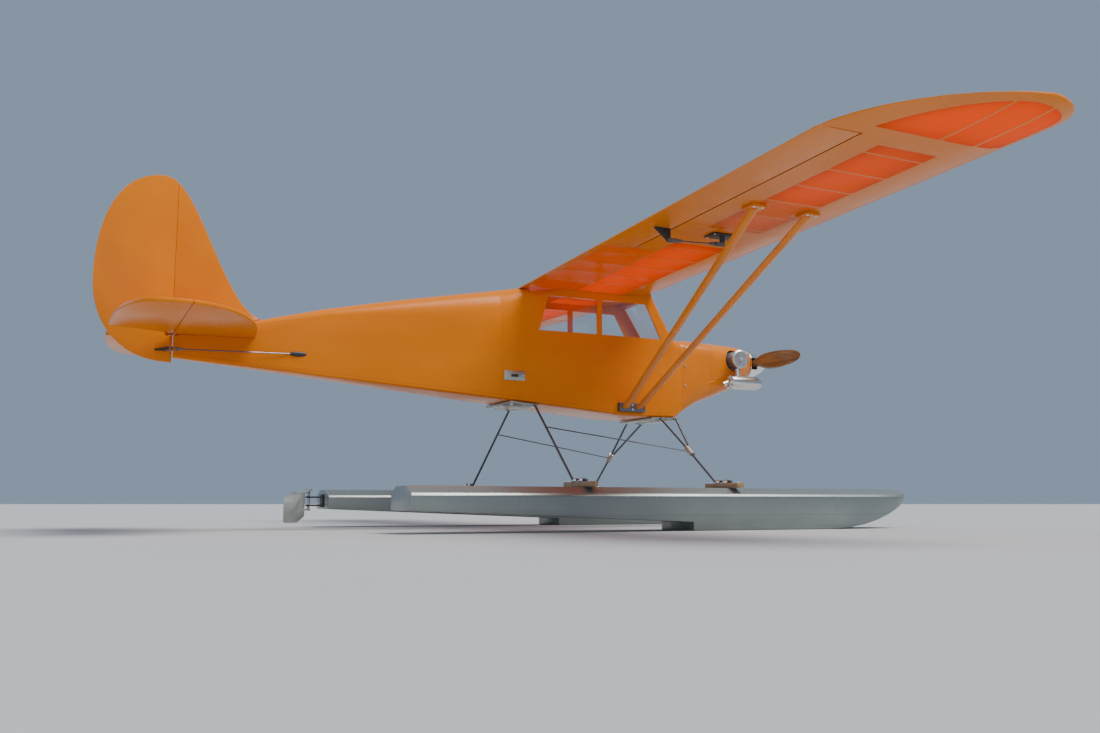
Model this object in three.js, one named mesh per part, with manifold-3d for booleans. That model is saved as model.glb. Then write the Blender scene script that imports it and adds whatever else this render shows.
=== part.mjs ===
// Radio-controlled model floatplane: a high-wing cabin monoplane on twin floats.
// Millimetres: +X to the nose, +Y to the left wing tip, +Z up. Lengths are counted from the wing's
// leading edge and heights from the float bottoms, until the last group centres the whole.
import * as THREE from 'three';
import { mergeVertices } from 'three/addons/utils/BufferGeometryUtils.js';
import Module from 'manifold-3d';

const wasm = await Module();
wasm.setup();

// Driving dimensions of the whole aeroplane
const TOUCH = 0.3;
const FAR = 2000;
const SIDES = { left: 1, right: -1 };
const NOSE_END = 400;
const TAIL_END = -948;
const THRUST_Z = 318;

const WING = { half: 972, chord: 260, seatZ: 420, dihedral: THREE.MathUtils.degToRad(1.75), clearance: 1.5 };
const TIP = { noseLength: 75, noseRun: 56, tailRun: 155, tailPower: 1.8, rings: 9, last: 0.998 };
const AILERON = { hinge: 204, axisZ: 7.1, nose: 7.1, gap: 0.8, inboard: 340, outboard: 830, end: 2 };

const CABIN = { front: 65, back: -300, wall: 3, endWall: 4, halfWidth: 60 };
const TAIL = { hinge: -832, z: 305, thickness: 6.4, nose: 3.2, gap: 0.8, centre: -845, edge: 2 };
const RUDDER = { axis: -834, thickness: 6.4, nose: 3.2, gap: 0.8, foot: 258, top: 553, edge: 1.8 };
const FLOAT = { y: 241, half: 48.5, stern: -535, step: -71, sternZ: 33, stepZ: 14, edge: 58, deck: 68 };
const BOW = { start: 200, rise: 56, risePower: 2.2, roundStart: 280, roundEnd: 401, roundPower: 3 };
const PROP = { radius: 165, pitch: 152, hubX: 247.5, hubLength: 12, hubRadius: 12, twistFrom: 28 };
const SPINNER = { back: 244.5, plate: 2.7, radius: 28, tip: 302, power: 1.6, fullness: 0.85 };

// Colours and finishes
const FINISH = {
  film: { color: 0xf0a021, roughness: 0.35, metalness: 0 },
  filmOpaque: { color: 0xe8951a, roughness: 0.38, metalness: 0 },
  floatGrey: { color: 0xc9cccb, roughness: 0.3, metalness: 0 },
  clear: { color: 0xdfe8ea, roughness: 0.1, metalness: 0 },
  aluminium: { color: 0xb9bcc0, roughness: 0.35, metalness: 1 },
  steel: { color: 0x4c4f52, roughness: 0.4, metalness: 1 },
  wood: { color: 0xc89a5e, roughness: 0.6, metalness: 0 },
  black: { color: 0x1a1a1c, roughness: 0.5, metalness: 0 },
};

// Solids and meshes
function solid(geometry) {
  const bare = geometry.clone();
  bare.deleteAttribute('normal');
  bare.deleteAttribute('uv');
  const merged = mergeVertices(bare, 1e-4);
  const index = merged.index.array;
  const triVerts = [];
  for (let i = 0; i < index.length; i += 3) {
    const [a, b, c] = [index[i], index[i + 1], index[i + 2]];
    if (a !== b && b !== c && c !== a) triVerts.push(a, b, c);
  }
  const vertProperties = new Float32Array(merged.attributes.position.array);
  if (signedVolume(vertProperties, triVerts) < 0) triVerts.reverse();
  const mesh = new wasm.Mesh({ numProp: 3, vertProperties, triVerts: new Uint32Array(triVerts) });
  return new wasm.Manifold(mesh);
}

function signedVolume(points, triangles) {
  const corner = (i) => new THREE.Vector3().fromArray(points, triangles[i] * 3);
  let sum = 0;
  for (let i = 0; i < triangles.length; i += 3) sum += corner(i).dot(corner(i + 1).cross(corner(i + 2)));
  return sum / 6;
}

function piece(name, body, finish) {
  const { numProp, vertProperties, triVerts } = body.getMesh();
  const geometry = new THREE.BufferGeometry();
  const positions = new THREE.InterleavedBuffer(vertProperties, numProp);
  geometry.setAttribute('position', new THREE.InterleavedBufferAttribute(positions, 3, 0));
  geometry.setIndex(new THREE.BufferAttribute(new Uint32Array(triVerts), 1));
  const mesh = new THREE.Mesh(geometry, new THREE.MeshStandardMaterial(finish));
  mesh.name = name;
  return mesh;
}

function joined(...bodies) {
  return bodies.reduce((sum, body) => sum.add(body));
}

function box(x0, x1, y0, y1, z0, z1) {
  const geometry = new THREE.BoxGeometry(x1 - x0, y1 - y0, z1 - z0);
  geometry.translate((x0 + x1) / 2, (y0 + y1) / 2, (z0 + z1) / 2);
  return solid(geometry);
}

// A rod between two points, round or flattened: width lies along the aeroplane
function rod(from, to, width, thickness = width, sides = 12) {
  const start = new THREE.Vector3(...from);
  const end = new THREE.Vector3(...to);
  const along = end.clone().sub(start);
  const geometry = new THREE.CylinderGeometry(0.5, 0.5, along.length(), sides);
  const y = along.clone().normalize();
  const ahead = Math.abs(y.x) > 0.9 ? new THREE.Vector3(0, 0, 1) : new THREE.Vector3(1, 0, 0);
  const x = ahead.addScaledVector(y, -ahead.dot(y)).normalize();
  const z = new THREE.Vector3().crossVectors(x, y);
  geometry.scale(width, 1, thickness);
  geometry.applyMatrix4(new THREE.Matrix4().makeBasis(x, y, z));
  geometry.translate(...start.add(end).multiplyScalar(0.5).toArray());
  return solid(geometry);
}

// A round rod along the aeroplane at the height of the propeller's shaft
function shaftRod(from, to, radius, sides = 12) {
  return rod([from, 0, THRUST_Z], [to, 0, THRUST_Z], 2 * radius, 2 * radius, sides);
}

// A closed skin through rings of points, with a flat face on its first and last ring
function loft(rings) {
  const count = rings[0].length;
  const points = rings.flat();
  const faces = [];
  for (let r = 0; r + 1 < rings.length; r += 1) {
    for (let i = 0; i < count; i += 1) {
      const a = r * count + i;
      const b = r * count + ((i + 1) % count);
      faces.push(a, b, b + count, a, b + count, a + count);
    }
  }
  const last = (rings.length - 1) * count;
  for (let i = 1; i + 1 < count; i += 1) {
    faces.push(0, i + 1, i, last, last + i, last + i + 1);
  }
  const geometry = new THREE.BufferGeometry();
  geometry.setAttribute('position', new THREE.Float32BufferAttribute(points.flat(), 3));
  geometry.setIndex(faces);
  return solid(geometry);
}

// A flat plate from an outline, with eased edges
function plate(shape, thickness, ease, curveSegments = 12) {
  const geometry = new THREE.ExtrudeGeometry(shape, {
    depth: thickness - 2 * ease,
    bevelEnabled: ease > 0,
    bevelThickness: ease,
    bevelSize: ease,
    bevelOffset: -ease,
    bevelSegments: 2,
    curveSegments,
  });
  geometry.translate(0, 0, ease - thickness / 2);
  return geometry;
}

function outline(points) {
  return new THREE.Shape(points.map(([x, y]) => new THREE.Vector2(x, y)));
}

// A prism across the aeroplane from a side outline of x and z
function prism(points, y0, y1) {
  const geometry = new THREE.ExtrudeGeometry(outline(points), { depth: y1 - y0, bevelEnabled: false });
  geometry.rotateX(Math.PI / 2);
  geometry.translate(0, y1, 0);
  return solid(geometry);
}

// The same convex outline with every edge moved inwards
function inset(points, gap) {
  const turn = Math.sign(THREE.ShapeUtils.area(points.map(([x, y]) => new THREE.Vector2(x, y))));
  const edges = points.map(([x, y], i) => {
    const [nx, ny] = points[(i + 1) % points.length];
    const length = Math.hypot(nx - x, ny - y);
    const normal = [(-turn * (ny - y)) / length, (turn * (nx - x)) / length];
    return { normal, reach: normal[0] * x + normal[1] * y + gap };
  });
  return edges.map((edge, i) => {
    const before = edges[(i + edges.length - 1) % edges.length];
    const cross = before.normal[0] * edge.normal[1] - before.normal[1] * edge.normal[0];
    const x = (before.reach * edge.normal[1] - edge.reach * before.normal[1]) / cross;
    const z = (edge.reach * before.normal[0] - before.reach * edge.normal[0]) / cross;
    return [x, z];
  });
}

// Fuselage rings: bottom curve up to low, upright sides, top curve from high, with the power of each curve
const QUARTER_STEPS = 5;

function ring({ x, half, bottom, low, high, top, below, above }, wall = 0) {
  const side = [];
  for (let i = 0; i <= QUARTER_STEPS; i += 1) {
    const angle = (i / QUARTER_STEPS) * (Math.PI / 2);
    const out = Math.sin(angle) ** (2 / below);
    const down = Math.cos(angle) ** (2 / below);
    side.push([(half - wall) * out, low - (low - bottom - wall) * down]);
  }
  for (let i = QUARTER_STEPS; i >= 0; i -= 1) {
    const angle = (i / QUARTER_STEPS) * (Math.PI / 2);
    const out = Math.sin(angle) ** (2 / above);
    const up = Math.cos(angle) ** (2 / above);
    side.push([(half - wall) * out, high + (top - wall - high) * up]);
  }
  const port = side.map(([y, z]) => [x, y, z]);
  const starboard = side.slice(1, -1).reverse().map(([y, z]) => [x, -y, z]);
  return [...port, ...starboard];
}

// A thin shell through fuselage rings, hollow between two places along it
function thinShell(rows, wall, from, to) {
  const skin = loft(rows.map((row) => ring(row)));
  const hollow = loft(rows.map((row) => ring(row, wall)));
  return skin.subtract(hollow.intersect(box(from, to, -FAR, FAR, -FAR, FAR)));
}

function table(columns, rows) {
  return rows.map((row) => Object.fromEntries(columns.map((column, i) => [column, row[i]])));
}

const RING_COLUMNS = ['x', 'half', 'bottom', 'low', 'high', 'top', 'below', 'above'];
const CABIN_RINGS = table(RING_COLUMNS, [
  [65, 53, 209, 235, 325, 353, 5, 2.6],
  [50, 54.5, 200, 214, 330, 353.5, 6, 2.6],
  [-6, 60, 200, 212, 424, 432, 8, 6],
  [-60, 60, 200, 212, 424, 432, 8, 6],
  [-170, 60, 209.3, 221, 422, 430, 8, 6],
  [-262, 54.8, 217, 229, 380, 424, 8, 3],
  [-300, 51.5, 220.3, 232, 354, 418, 8, 2.6],
]);
const REAR_RINGS = table(RING_COLUMNS, [
  [-300 - TOUCH, 51.5, 220.3, 232, 354, 418, 8, 2.6],
  [-480, 35.9, 235.5, 246, 351, 385, 7, 2.3],
  [-600, 25.5, 245.6, 254, 345, 360, 6, 2.1],
  [-705, 16.4, 254.5, 261, 324, 333, 5, 2],
  [-795, 8.7, 262, 266, 301, 309.5, 4, 2],
  [-829, 5.8, 265, 268, 298, 301, 4, 2],
]);
const COWL_RINGS = table(RING_COLUMNS, [
  [65 + TOUCH, 53, 209, 235, 325, 353, 5, 2.6],
  [100, 53, 228, 262, 320, 354, 4, 2.6],
  [150, 49, 246, 285, 319, 353, 3.2, 2.4],
  [200, 42.5, 264, 302, 319, 352, 2.6, 2.2],
  [228, 36, 277, 316, 319, 350, 2.2, 2.1],
  [240, 31, 286, 317, 319, 347, 2, 2],
]);

// Wing panels with their ailerons, flat in the panel's own frame
const SECTION = { half: 0.6, crown: 1.55, noseHeight: 0.035, noseRun: 0.25, nosePower: 2.5, tail: 0.006 };
const SKIN_STEPS = { upper: 11, lower: 9 };

function upperSkin(t) {
  const spread = 0.2969 * Math.sqrt(t) - 0.126 * t - 0.3516 * t ** 2 + 0.2843 * t ** 3 - 0.1036 * t ** 4;
  return SECTION.noseHeight * (1 - t) + SECTION.crown * SECTION.half * spread + SECTION.tail * t;
}

function lowerSkin(t) {
  return SECTION.noseHeight * Math.max(0, 1 - t / SECTION.noseRun) ** SECTION.nosePower;
}

function wingRing(y, front, back, fullness, lean = 0) {
  const points = [];
  const chordPoint = (t, height) => {
    const z = WING.chord * (height * fullness + SECTION.noseHeight * (1 - fullness));
    return [front - t * (front - back), y + lean * z, z];
  };
  for (let i = 0; i <= SKIN_STEPS.upper; i += 1) {
    const t = (1 + Math.cos((i / SKIN_STEPS.upper) * Math.PI)) / 2;
    points.push(chordPoint(t, upperSkin(t)));
  }
  for (let i = 1; i <= SKIN_STEPS.lower; i += 1) {
    const t = (1 - Math.cos((i / SKIN_STEPS.lower) * Math.PI)) / 2;
    points.push(chordPoint(t, lowerSkin(t)));
  }
  return points;
}

function wingBlank(side) {
  const rings = [wingRing(side * TOUCH, 0, -WING.chord, 1, side * Math.tan(WING.dihedral))];
  for (let i = 0; i <= TIP.rings; i += 1) {
    const s = TIP.last * Math.sin((i / TIP.rings) * (Math.PI / 2));
    const y = WING.half - TIP.tailRun * (1 - s);
    const noseShare = Math.max(0, (y - (WING.half - TIP.noseRun)) / TIP.noseRun);
    const front = -TIP.noseLength * (1 - Math.sqrt(1 - noseShare ** 2));
    const sweep = 1 - (1 - s ** TIP.tailPower) ** (1 / TIP.tailPower);
    const back = -WING.chord + (WING.chord - TIP.noseLength) * sweep;
    rings.push(wingRing(side * y, front, back, Math.sqrt(1 - s ** 2)));
  }
  return loft(rings);
}

function aileronZone(side, radius, trim) {
  const y0 = side * (AILERON.inboard + trim);
  const y1 = side * (AILERON.outboard - trim);
  const [low, high] = [Math.min(y0, y1), Math.max(y0, y1)];
  const nose = rod([-AILERON.hinge, low, AILERON.axisZ], [-AILERON.hinge, high, AILERON.axisZ], 2 * radius);
  return joined(box(-FAR, -AILERON.hinge, low, high, -FAR, FAR), nose);
}

const HORN = { setBack: 2, thickness: 3, drop: 20, foot: 26, heel: 2, toe: 4 };
const SERVO = { x: -116, y: 445, length: 46, width: 26, thickness: 2, armDrop: 16, arm: 8, armThickness: 3 };

// A control horn hanging below a surface, just behind its hinge
function controlHorn(hinge, y, seat) {
  const front = hinge - HORN.setBack;
  const back = front - HORN.foot;
  const shape = outline([
    [front, 0],
    [back, 0],
    [back, -HORN.heel],
    [front - HORN.toe, -HORN.drop],
    [front, -HORN.drop],
  ]);
  const blade = plate(shape, HORN.thickness, 0);
  blade.rotateX(Math.PI / 2);
  blade.translate(0, y, seat - TOUCH);
  return solid(blade);
}

function aileronServo(side) {
  const { x, length, width, thickness, armDrop, arm, armThickness } = SERVO;
  const y = side * SERVO.y;
  const lid = box(x - length / 2, x + length / 2, y - width / 2, y + width / 2, -thickness - TOUCH, -TOUCH);
  const lever = box(
    x - arm / 2,
    x + arm / 2,
    y - armThickness / 2,
    y + armThickness / 2,
    -armDrop,
    -TOUCH - thickness / 2,
  );
  return joined(lid, lever);
}

function wingPanel(side, name) {
  const group = new THREE.Group();
  const blank = wingBlank(side);
  const wing = blank.subtract(aileronZone(side, AILERON.nose + AILERON.gap, 0));
  const aileron = blank.intersect(aileronZone(side, AILERON.nose, AILERON.end));
  group.add(piece(`wing_${name}`, wing, FINISH.film));
  group.add(piece(`aileron_${name}`, aileron, FINISH.filmOpaque));
  group.add(piece(`aileron_horn_${name}`, controlHorn(-AILERON.hinge, side * SERVO.y, 0), FINISH.black));
  group.add(piece(`aileron_servo_${name}`, aileronServo(side), FINISH.black));
  group.rotation.x = side * WING.dihedral;
  group.position.z = WING.seatZ;
  return group;
}

// Everything above the wing's underside, in the aeroplane's frame
function wingSpace(side, back, front) {
  const y0 = Math.min(0, side * FAR);
  const geometry = new THREE.BoxGeometry(front - back, FAR, FAR);
  geometry.translate((front + back) / 2, y0 + FAR / 2, FAR / 2 - TOUCH);
  geometry.rotateX(side * WING.dihedral);
  geometry.translate(0, 0, WING.seatZ);
  return solid(geometry);
}

function wingUnderside(y) {
  return WING.seatZ + Math.abs(y) * Math.tan(WING.dihedral);
}

// Cabin: a thin box with its windows cut, open on top where the wing covers it
const WINDSCREEN = { outline: [[51, 337], [51, 375], [1, 445], [1, 409]], half: 47 };
const SIDE_WINDOWS = {
  front: [[18, 345], [-16, 408], [-108, 408], [-108, 345]],
  rear: [[-118, 345], [-118, 408], [-214, 408], [-232, 345]],
};
const PANE = { outer: 0.8, inner: 2.3 };
const ROOF_BAY = { back: -245, front: -14, half: 48, from: 400 };

function cabinShell(outer, inner, ends) {
  const skin = loft(CABIN_RINGS.map((row) => ring(row, outer)));
  const hollow = loft(CABIN_RINGS.map((row) => ring(row, inner)));
  const inside = box(CABIN.back + ends, CABIN.front - ends, -FAR, FAR, -FAR, FAR);
  return skin.subtract(hollow.intersect(inside));
}

function cabin() {
  const group = new THREE.Group();
  let shell = cabinShell(0, CABIN.wall, CABIN.endWall);
  const glass = cabinShell(PANE.outer, PANE.inner, CABIN.endWall);
  for (const side of Object.values(SIDES)) {
    shell = shell.subtract(wingSpace(side, -WING.chord - WING.clearance, WING.clearance));
  }
  const { back, front, half, from } = ROOF_BAY;
  shell = shell.subtract(box(back, front, -half, half, from, FAR));
  shell = shell.subtract(prism(WINDSCREEN.outline, -WINDSCREEN.half, WINDSCREEN.half));
  const screenHalf = WINDSCREEN.half - TOUCH;
  const screen = glass.intersect(prism(inset(WINDSCREEN.outline, TOUCH), -screenHalf, screenHalf));
  group.add(piece('windscreen', screen, FINISH.clear));
  for (const [sideName, side] of Object.entries(SIDES)) {
    const [y0, y1] = side > 0 ? [CABIN.halfWidth / 2, FAR] : [-FAR, -CABIN.halfWidth / 2];
    for (const [name, points] of Object.entries(SIDE_WINDOWS)) {
      const pane = glass.intersect(prism(inset(points, TOUCH), y0, y1));
      group.add(piece(`window_${name}_${sideName}`, pane, FINISH.clear));
      shell = shell.subtract(prism(points, y0, y1));
    }
  }
  group.add(piece('fuselage_cabin', shell, FINISH.filmOpaque));
  return group;
}

// Rear fuselage: a thin tapering shell, open to the cabin, with a slot that takes the stabilizer
const REAR = { wall: 2.4, hollowEnd: -700 };

function rearFuselage() {
  const slotTop = TAIL.z + TAIL.thickness / 2 + TOUCH;
  const slotBottom = TAIL.z - TAIL.thickness / 2 - TOUCH;
  const slot = box(-FAR, STAB_FRONT + TOUCH, -FAR, FAR, slotBottom, slotTop);
  const body = thinShell(REAR_RINGS, REAR.wall, REAR.hollowEnd, FAR);
  return piece('fuselage_rear', body.subtract(slot), FINISH.filmOpaque);
}

// Tailplane: an egg-shaped outline, cut at the hinge into stabilizer and elevators
const EGG = { ahead: 135, aheadPower: 2, behind: 79, behindPower: 3, half: 268, steps: 14 };
const STAB_FRONT = TAIL.centre + EGG.ahead;
const ELEVATOR = { root: 12, notchX: -926, notchY: 53, ahead: 20, joiner: 3, hornY: 30 };

function eggPoint(angle) {
  const ahead = Math.cos(angle) >= 0;
  const power = 2 / (ahead ? EGG.aheadPower : EGG.behindPower);
  const reach = ahead ? EGG.ahead : -EGG.behind;
  const x = TAIL.centre + reach * Math.abs(Math.cos(angle)) ** power;
  return [x, Math.sign(Math.sin(angle)) * EGG.half * Math.abs(Math.sin(angle)) ** power];
}

function tailplane() {
  const group = new THREE.Group();
  const points = [];
  for (let i = 0; i < 4 * EGG.steps; i += 1) points.push(eggPoint((i / (2 * EGG.steps)) * Math.PI));
  const geometry = plate(outline(points), TAIL.thickness, TAIL.edge);
  geometry.translate(0, 0, TAIL.z);
  const egg = solid(geometry);
  const aft = box(-FAR, TAIL.hinge, -FAR, FAR, -FAR, FAR);
  const nose = (radius) => rod([TAIL.hinge, -FAR, TAIL.z], [TAIL.hinge, FAR, TAIL.z], 2 * radius);
  const stabilizer = egg.subtract(joined(aft, nose(TAIL.nose + TAIL.gap)));
  group.add(piece('stabilizer', stabilizer, FINISH.filmOpaque));
  const moving = egg.intersect(joined(aft, nose(TAIL.nose)));
  for (const [name, side] of Object.entries(SIDES)) {
    const wedge = outline([
      [TAIL.hinge + ELEVATOR.ahead, side * ELEVATOR.root],
      [TAIL.hinge, side * ELEVATOR.root],
      [ELEVATOR.notchX, side * ELEVATOR.notchY],
      [ELEVATOR.notchX, -side * FAR],
      [TAIL.hinge + ELEVATOR.ahead, -side * FAR],
    ]);
    const keepOut = plate(wedge, FAR, 0);
    group.add(piece(`elevator_${name}`, moving.subtract(solid(keepOut)), FINISH.filmOpaque));
  }
  const reach = ELEVATOR.root - TOUCH;
  const joiner = rod([TAIL.hinge, -reach, TAIL.z], [TAIL.hinge, reach, TAIL.z], ELEVATOR.joiner);
  group.add(piece('elevator_joiner', joiner, FINISH.steel));
  const horn = controlHorn(TAIL.hinge, ELEVATOR.hornY, TAIL.z - TAIL.thickness / 2);
  group.add(piece('elevator_horn', horn, FINISH.black));
  return group;
}

// Fin and rudder: one upright outline, cut at the rudder post
const JOINER_NOTCH = { ahead: 5, behind: 8, rise: 6 };
const FIN = { front: [-700, 335], rear: [-795, 310.3], heel: 310 };
const UPRIGHT_CURVES = [
  [-760, 352, -800, RUDDER.top, -852, RUDDER.top],
  [-922, RUDDER.top, TAIL_END, 470, TAIL_END, 385],
  [TAIL_END, 310, -905, RUDDER.foot, RUDDER.axis - 2, RUDDER.foot],
];
const RUDDER_HORN = { z: 276, front: 3, back: 22, toe: 7, reach: 26, thickness: 3 };

function uprightTail() {
  const group = new THREE.Group();
  const shape = new THREE.Shape();
  shape.moveTo(...FIN.front);
  for (const curve of UPRIGHT_CURVES) shape.bezierCurveTo(...curve);
  shape.lineTo(RUDDER.axis + RUDDER.nose, RUDDER.foot);
  shape.lineTo(RUDDER.axis + RUDDER.nose, FIN.heel);
  shape.lineTo(...FIN.rear);
  shape.closePath();
  const geometry = plate(shape, RUDDER.thickness, RUDDER.edge);
  geometry.rotateX(Math.PI / 2);
  const blank = solid(geometry);
  const aft = box(-FAR, RUDDER.axis, -FAR, FAR, -FAR, FAR);
  const post = (radius) => rod([RUDDER.axis, 0, -FAR], [RUDDER.axis, 0, FAR], 2 * radius);
  const fin = blank.subtract(joined(aft, post(RUDDER.nose + RUDDER.gap)));
  const aboveStab = TAIL.z + TAIL.thickness / 2 + TOUCH;
  group.add(piece('fin', fin.intersect(box(-FAR, FAR, -FAR, FAR, aboveStab, FAR)), FINISH.filmOpaque));
  const { ahead, behind, rise } = JOINER_NOTCH;
  const notch = box(RUDDER.axis - behind, RUDDER.axis + ahead, -FAR, FAR, TAIL.z - rise, TAIL.z + rise);
  const rudder = blank.intersect(joined(aft, post(RUDDER.nose))).subtract(notch);
  group.add(piece('rudder', rudder, FINISH.filmOpaque));
  const seat = -RUDDER.thickness / 2 - TOUCH;
  const hornShape = outline([
    [RUDDER.axis - RUDDER_HORN.front, seat],
    [RUDDER.axis - RUDDER_HORN.back, seat],
    [RUDDER.axis - RUDDER_HORN.toe, -RUDDER_HORN.reach],
    [RUDDER.axis - RUDDER_HORN.front, -RUDDER_HORN.reach],
  ]);
  const horn = plate(hornShape, RUDDER_HORN.thickness, 0);
  horn.translate(0, 0, RUDDER_HORN.z);
  group.add(piece('rudder_horn', solid(horn), FINISH.black));
  return group;
}

// Cowl: a thin nose bowl with openings for shaft, cylinder and cooling air
const COWL = { wall: 2, front: 240, shaftHole: 23, holeBack: 200, cylinderHole: 21, under: 200, sides: 24 };
const OUTLET = { back: 68, front: 106, y: -12, width: 11, top: 260 };
const CROSS_SLOT = { x: 152, half: 18, width: 8, top: 270 };
const ENGINE = { x: 192, back: 112, front: 210, half: 22, low: 297, high: 339, nose: 12, noseGap: 0.6 };
const MOUNT_EASE = 4;

function cowl() {
  let shell = thinShell(COWL_RINGS, COWL.wall, 0, COWL.front - COWL.wall);
  shell = shell.subtract(shaftRod(COWL.holeBack, FAR, COWL.shaftHole, COWL.sides));
  const hole = 2 * COWL.cylinderHole;
  const inner = [ENGINE.x, -ENGINE.half, THRUST_Z];
  shell = shell.subtract(rod([ENGINE.x, -FAR, THRUST_Z], inner, hole, hole, COWL.sides));
  const { back, front, y, width, top } = OUTLET;
  shell = shell.subtract(box(back, front, y - width / 2, y + width / 2, COWL.under, top));
  const slot = CROSS_SLOT;
  const [slotBack, slotFront] = [slot.x - slot.width / 2, slot.x + slot.width / 2];
  shell = shell.subtract(box(slotBack, slotFront, -slot.half, slot.half, COWL.under, slot.top));
  return piece('cowl', shell, FINISH.filmOpaque);
}

// Engine lying on its right side, with finned cylinder and silencer
const CYLINDER = { root: -ENGINE.half - TOUCH, tip: -68, core: 14, sides: 18 };
const FINS = { count: 6, first: 3, pitch: 6, radius: 17, thickness: 2.4 };
const HEAD = { radius: 18.5, depth: 6, ease: 3 };
const SILENCER = { y: -66, z: 272, stub: 6, stubInset: 12, pipe: 5, pipeFrom: 162, outlet: [146, -69, 266] };
const SILENCER_PROFILE = [[0, 160], [9, 160], [13, 165], [13, 225], [8, 234], [0, 234]];

// A body of revolution from an outline of radius and height
function turned(profile, sides) {
  return new THREE.LatheGeometry(
    profile.map(([radius, height]) => new THREE.Vector2(radius, height)),
    sides,
  );
}

function engine() {
  const group = new THREE.Group();
  const { back, front, half, low, high } = ENGINE;
  const housing = shaftRod(front - 1, SPINNER.back - ENGINE.noseGap, ENGINE.nose, 20);
  const crankcase = joined(box(back, front, -half, half, low, high), housing);
  group.add(piece('engine_case', crankcase, FINISH.aluminium));
  const [mountLow, mountHigh] = [low + MOUNT_EASE, high - MOUNT_EASE];
  const mount = box(CABIN.front + TOUCH, back - TOUCH, -half, half, mountLow, mountHigh);
  group.add(piece('engine_mount', mount, FINISH.aluminium));
  const profile = [[0, 0], [CYLINDER.core, 0]];
  for (let i = 0; i < FINS.count; i += 1) {
    const [start, end] = [FINS.first + i * FINS.pitch, FINS.first + i * FINS.pitch + FINS.thickness];
    profile.push([CYLINDER.core, start], [FINS.radius, start], [FINS.radius, end], [CYLINDER.core, end]);
  }
  const length = CYLINDER.root - CYLINDER.tip;
  const headStart = length - HEAD.depth;
  profile.push([CYLINDER.core, headStart], [HEAD.radius, headStart]);
  profile.push([HEAD.radius - HEAD.ease, length], [0, length]);
  const cylinder = turned(profile, CYLINDER.sides);
  cylinder.rotateX(Math.PI);
  cylinder.translate(ENGINE.x, CYLINDER.root, THRUST_Z);
  group.add(piece('engine_cylinder', solid(cylinder), FINISH.aluminium));
  const { y, z, stubInset } = SILENCER;
  const body = turned(SILENCER_PROFILE, CYLINDER.sides);
  body.rotateZ(-Math.PI / 2);
  body.translate(0, y, z);
  const stubTop = THRUST_Z - FINS.radius - TOUCH;
  const stub = rod([ENGINE.x, y + stubInset, z], [ENGINE.x, y + stubInset, stubTop], 2 * SILENCER.stub);
  const pipe = rod([SILENCER.pipeFrom, y, z], SILENCER.outlet, 2 * SILENCER.pipe);
  group.add(piece('silencer', joined(solid(body), stub, pipe), FINISH.aluminium));
  return group;
}

// Propeller, back plate and pointed spinner
const BLADE_ROWS = table(['radius', 'chord', 'thickness'], [
  [4, 11, 9],
  [28, 14, 8],
  [60, 30, 5.5],
  [100, 32, 4],
  [140, 25, 3],
  [158, 16, 2.4],
  [PROP.radius, 7, 1.6],
]);
const BLADE_SIDES = 10;
const SPINNER_STEPS = 9;
const SPINNER_SIDES = 32;
const SPINNER_CUT = { hub: 1.5, ahead: 3, half: 11.5 };

function blade(side) {
  const middle = PROP.hubX + PROP.hubLength / 2;
  return loft(
    BLADE_ROWS.map(({ radius, chord, thickness }) => {
      const pitch = Math.atan(PROP.pitch / (2 * Math.PI * Math.max(radius, PROP.twistFrom)));
      return Array.from({ length: BLADE_SIDES }, (_, i) => {
        const angle = (i / BLADE_SIDES) * 2 * Math.PI;
        const along = (chord / 2) * Math.cos(angle);
        const across = (thickness / 2) * Math.sin(angle);
        const x = middle + along * Math.sin(pitch) + across * Math.cos(pitch);
        const z = THRUST_Z + side * (along * Math.cos(pitch) - across * Math.sin(pitch));
        return [x, side * radius, z];
      });
    }),
  );
}

function propeller() {
  const group = new THREE.Group();
  const hubFront = PROP.hubX + PROP.hubLength;
  const hub = shaftRod(PROP.hubX, hubFront, PROP.hubRadius);
  group.add(piece('propeller', joined(hub, blade(1), blade(-1)), FINISH.wood));
  const plateFront = SPINNER.back + SPINNER.plate;
  const backPlate = shaftRod(SPINNER.back, plateFront, SPINNER.radius, SPINNER_SIDES);
  group.add(piece('spinner_plate', backPlate, FINISH.aluminium));
  const length = SPINNER.tip - plateFront - TOUCH;
  const profile = [[0, 0]];
  for (let i = 0; i < SPINNER_STEPS; i += 1) {
    const share = i / SPINNER_STEPS;
    profile.push([SPINNER.radius * (1 - share ** SPINNER.power) ** SPINNER.fullness, share * length]);
  }
  profile.push([0, length]);
  const cone = turned(profile, SPINNER_SIDES);
  cone.rotateZ(-Math.PI / 2);
  cone.translate(plateFront + TOUCH, 0, THRUST_Z);
  const { hub: hubGap, ahead, half } = SPINNER_CUT;
  const pocket = shaftRod(0, hubFront + 1, PROP.hubRadius + hubGap);
  const slot = box(0, hubFront + ahead, -FAR, FAR, THRUST_Z - half, THRUST_Z + half);
  group.add(piece('spinner', solid(cone).subtract(joined(pocket, slot)), FINISH.aluminium));
  return group;
}

// Lift struts: two a side, from one fitting on the lower edge of the cabin to the wing
const STRUT = { root: 576, width: 15, thickness: 6, footZ: 215 };
const FITTING = { back: -77, front: -23, out: 6, half: 8 };
const CLIP = { half: 12, drop: 3.6, rise: 5 };
const STRUT_ROWS = table(['name', 'footX', 'wingX'], [
  ['front', -36, -66],
  ['rear', -64, -156],
]);

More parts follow.
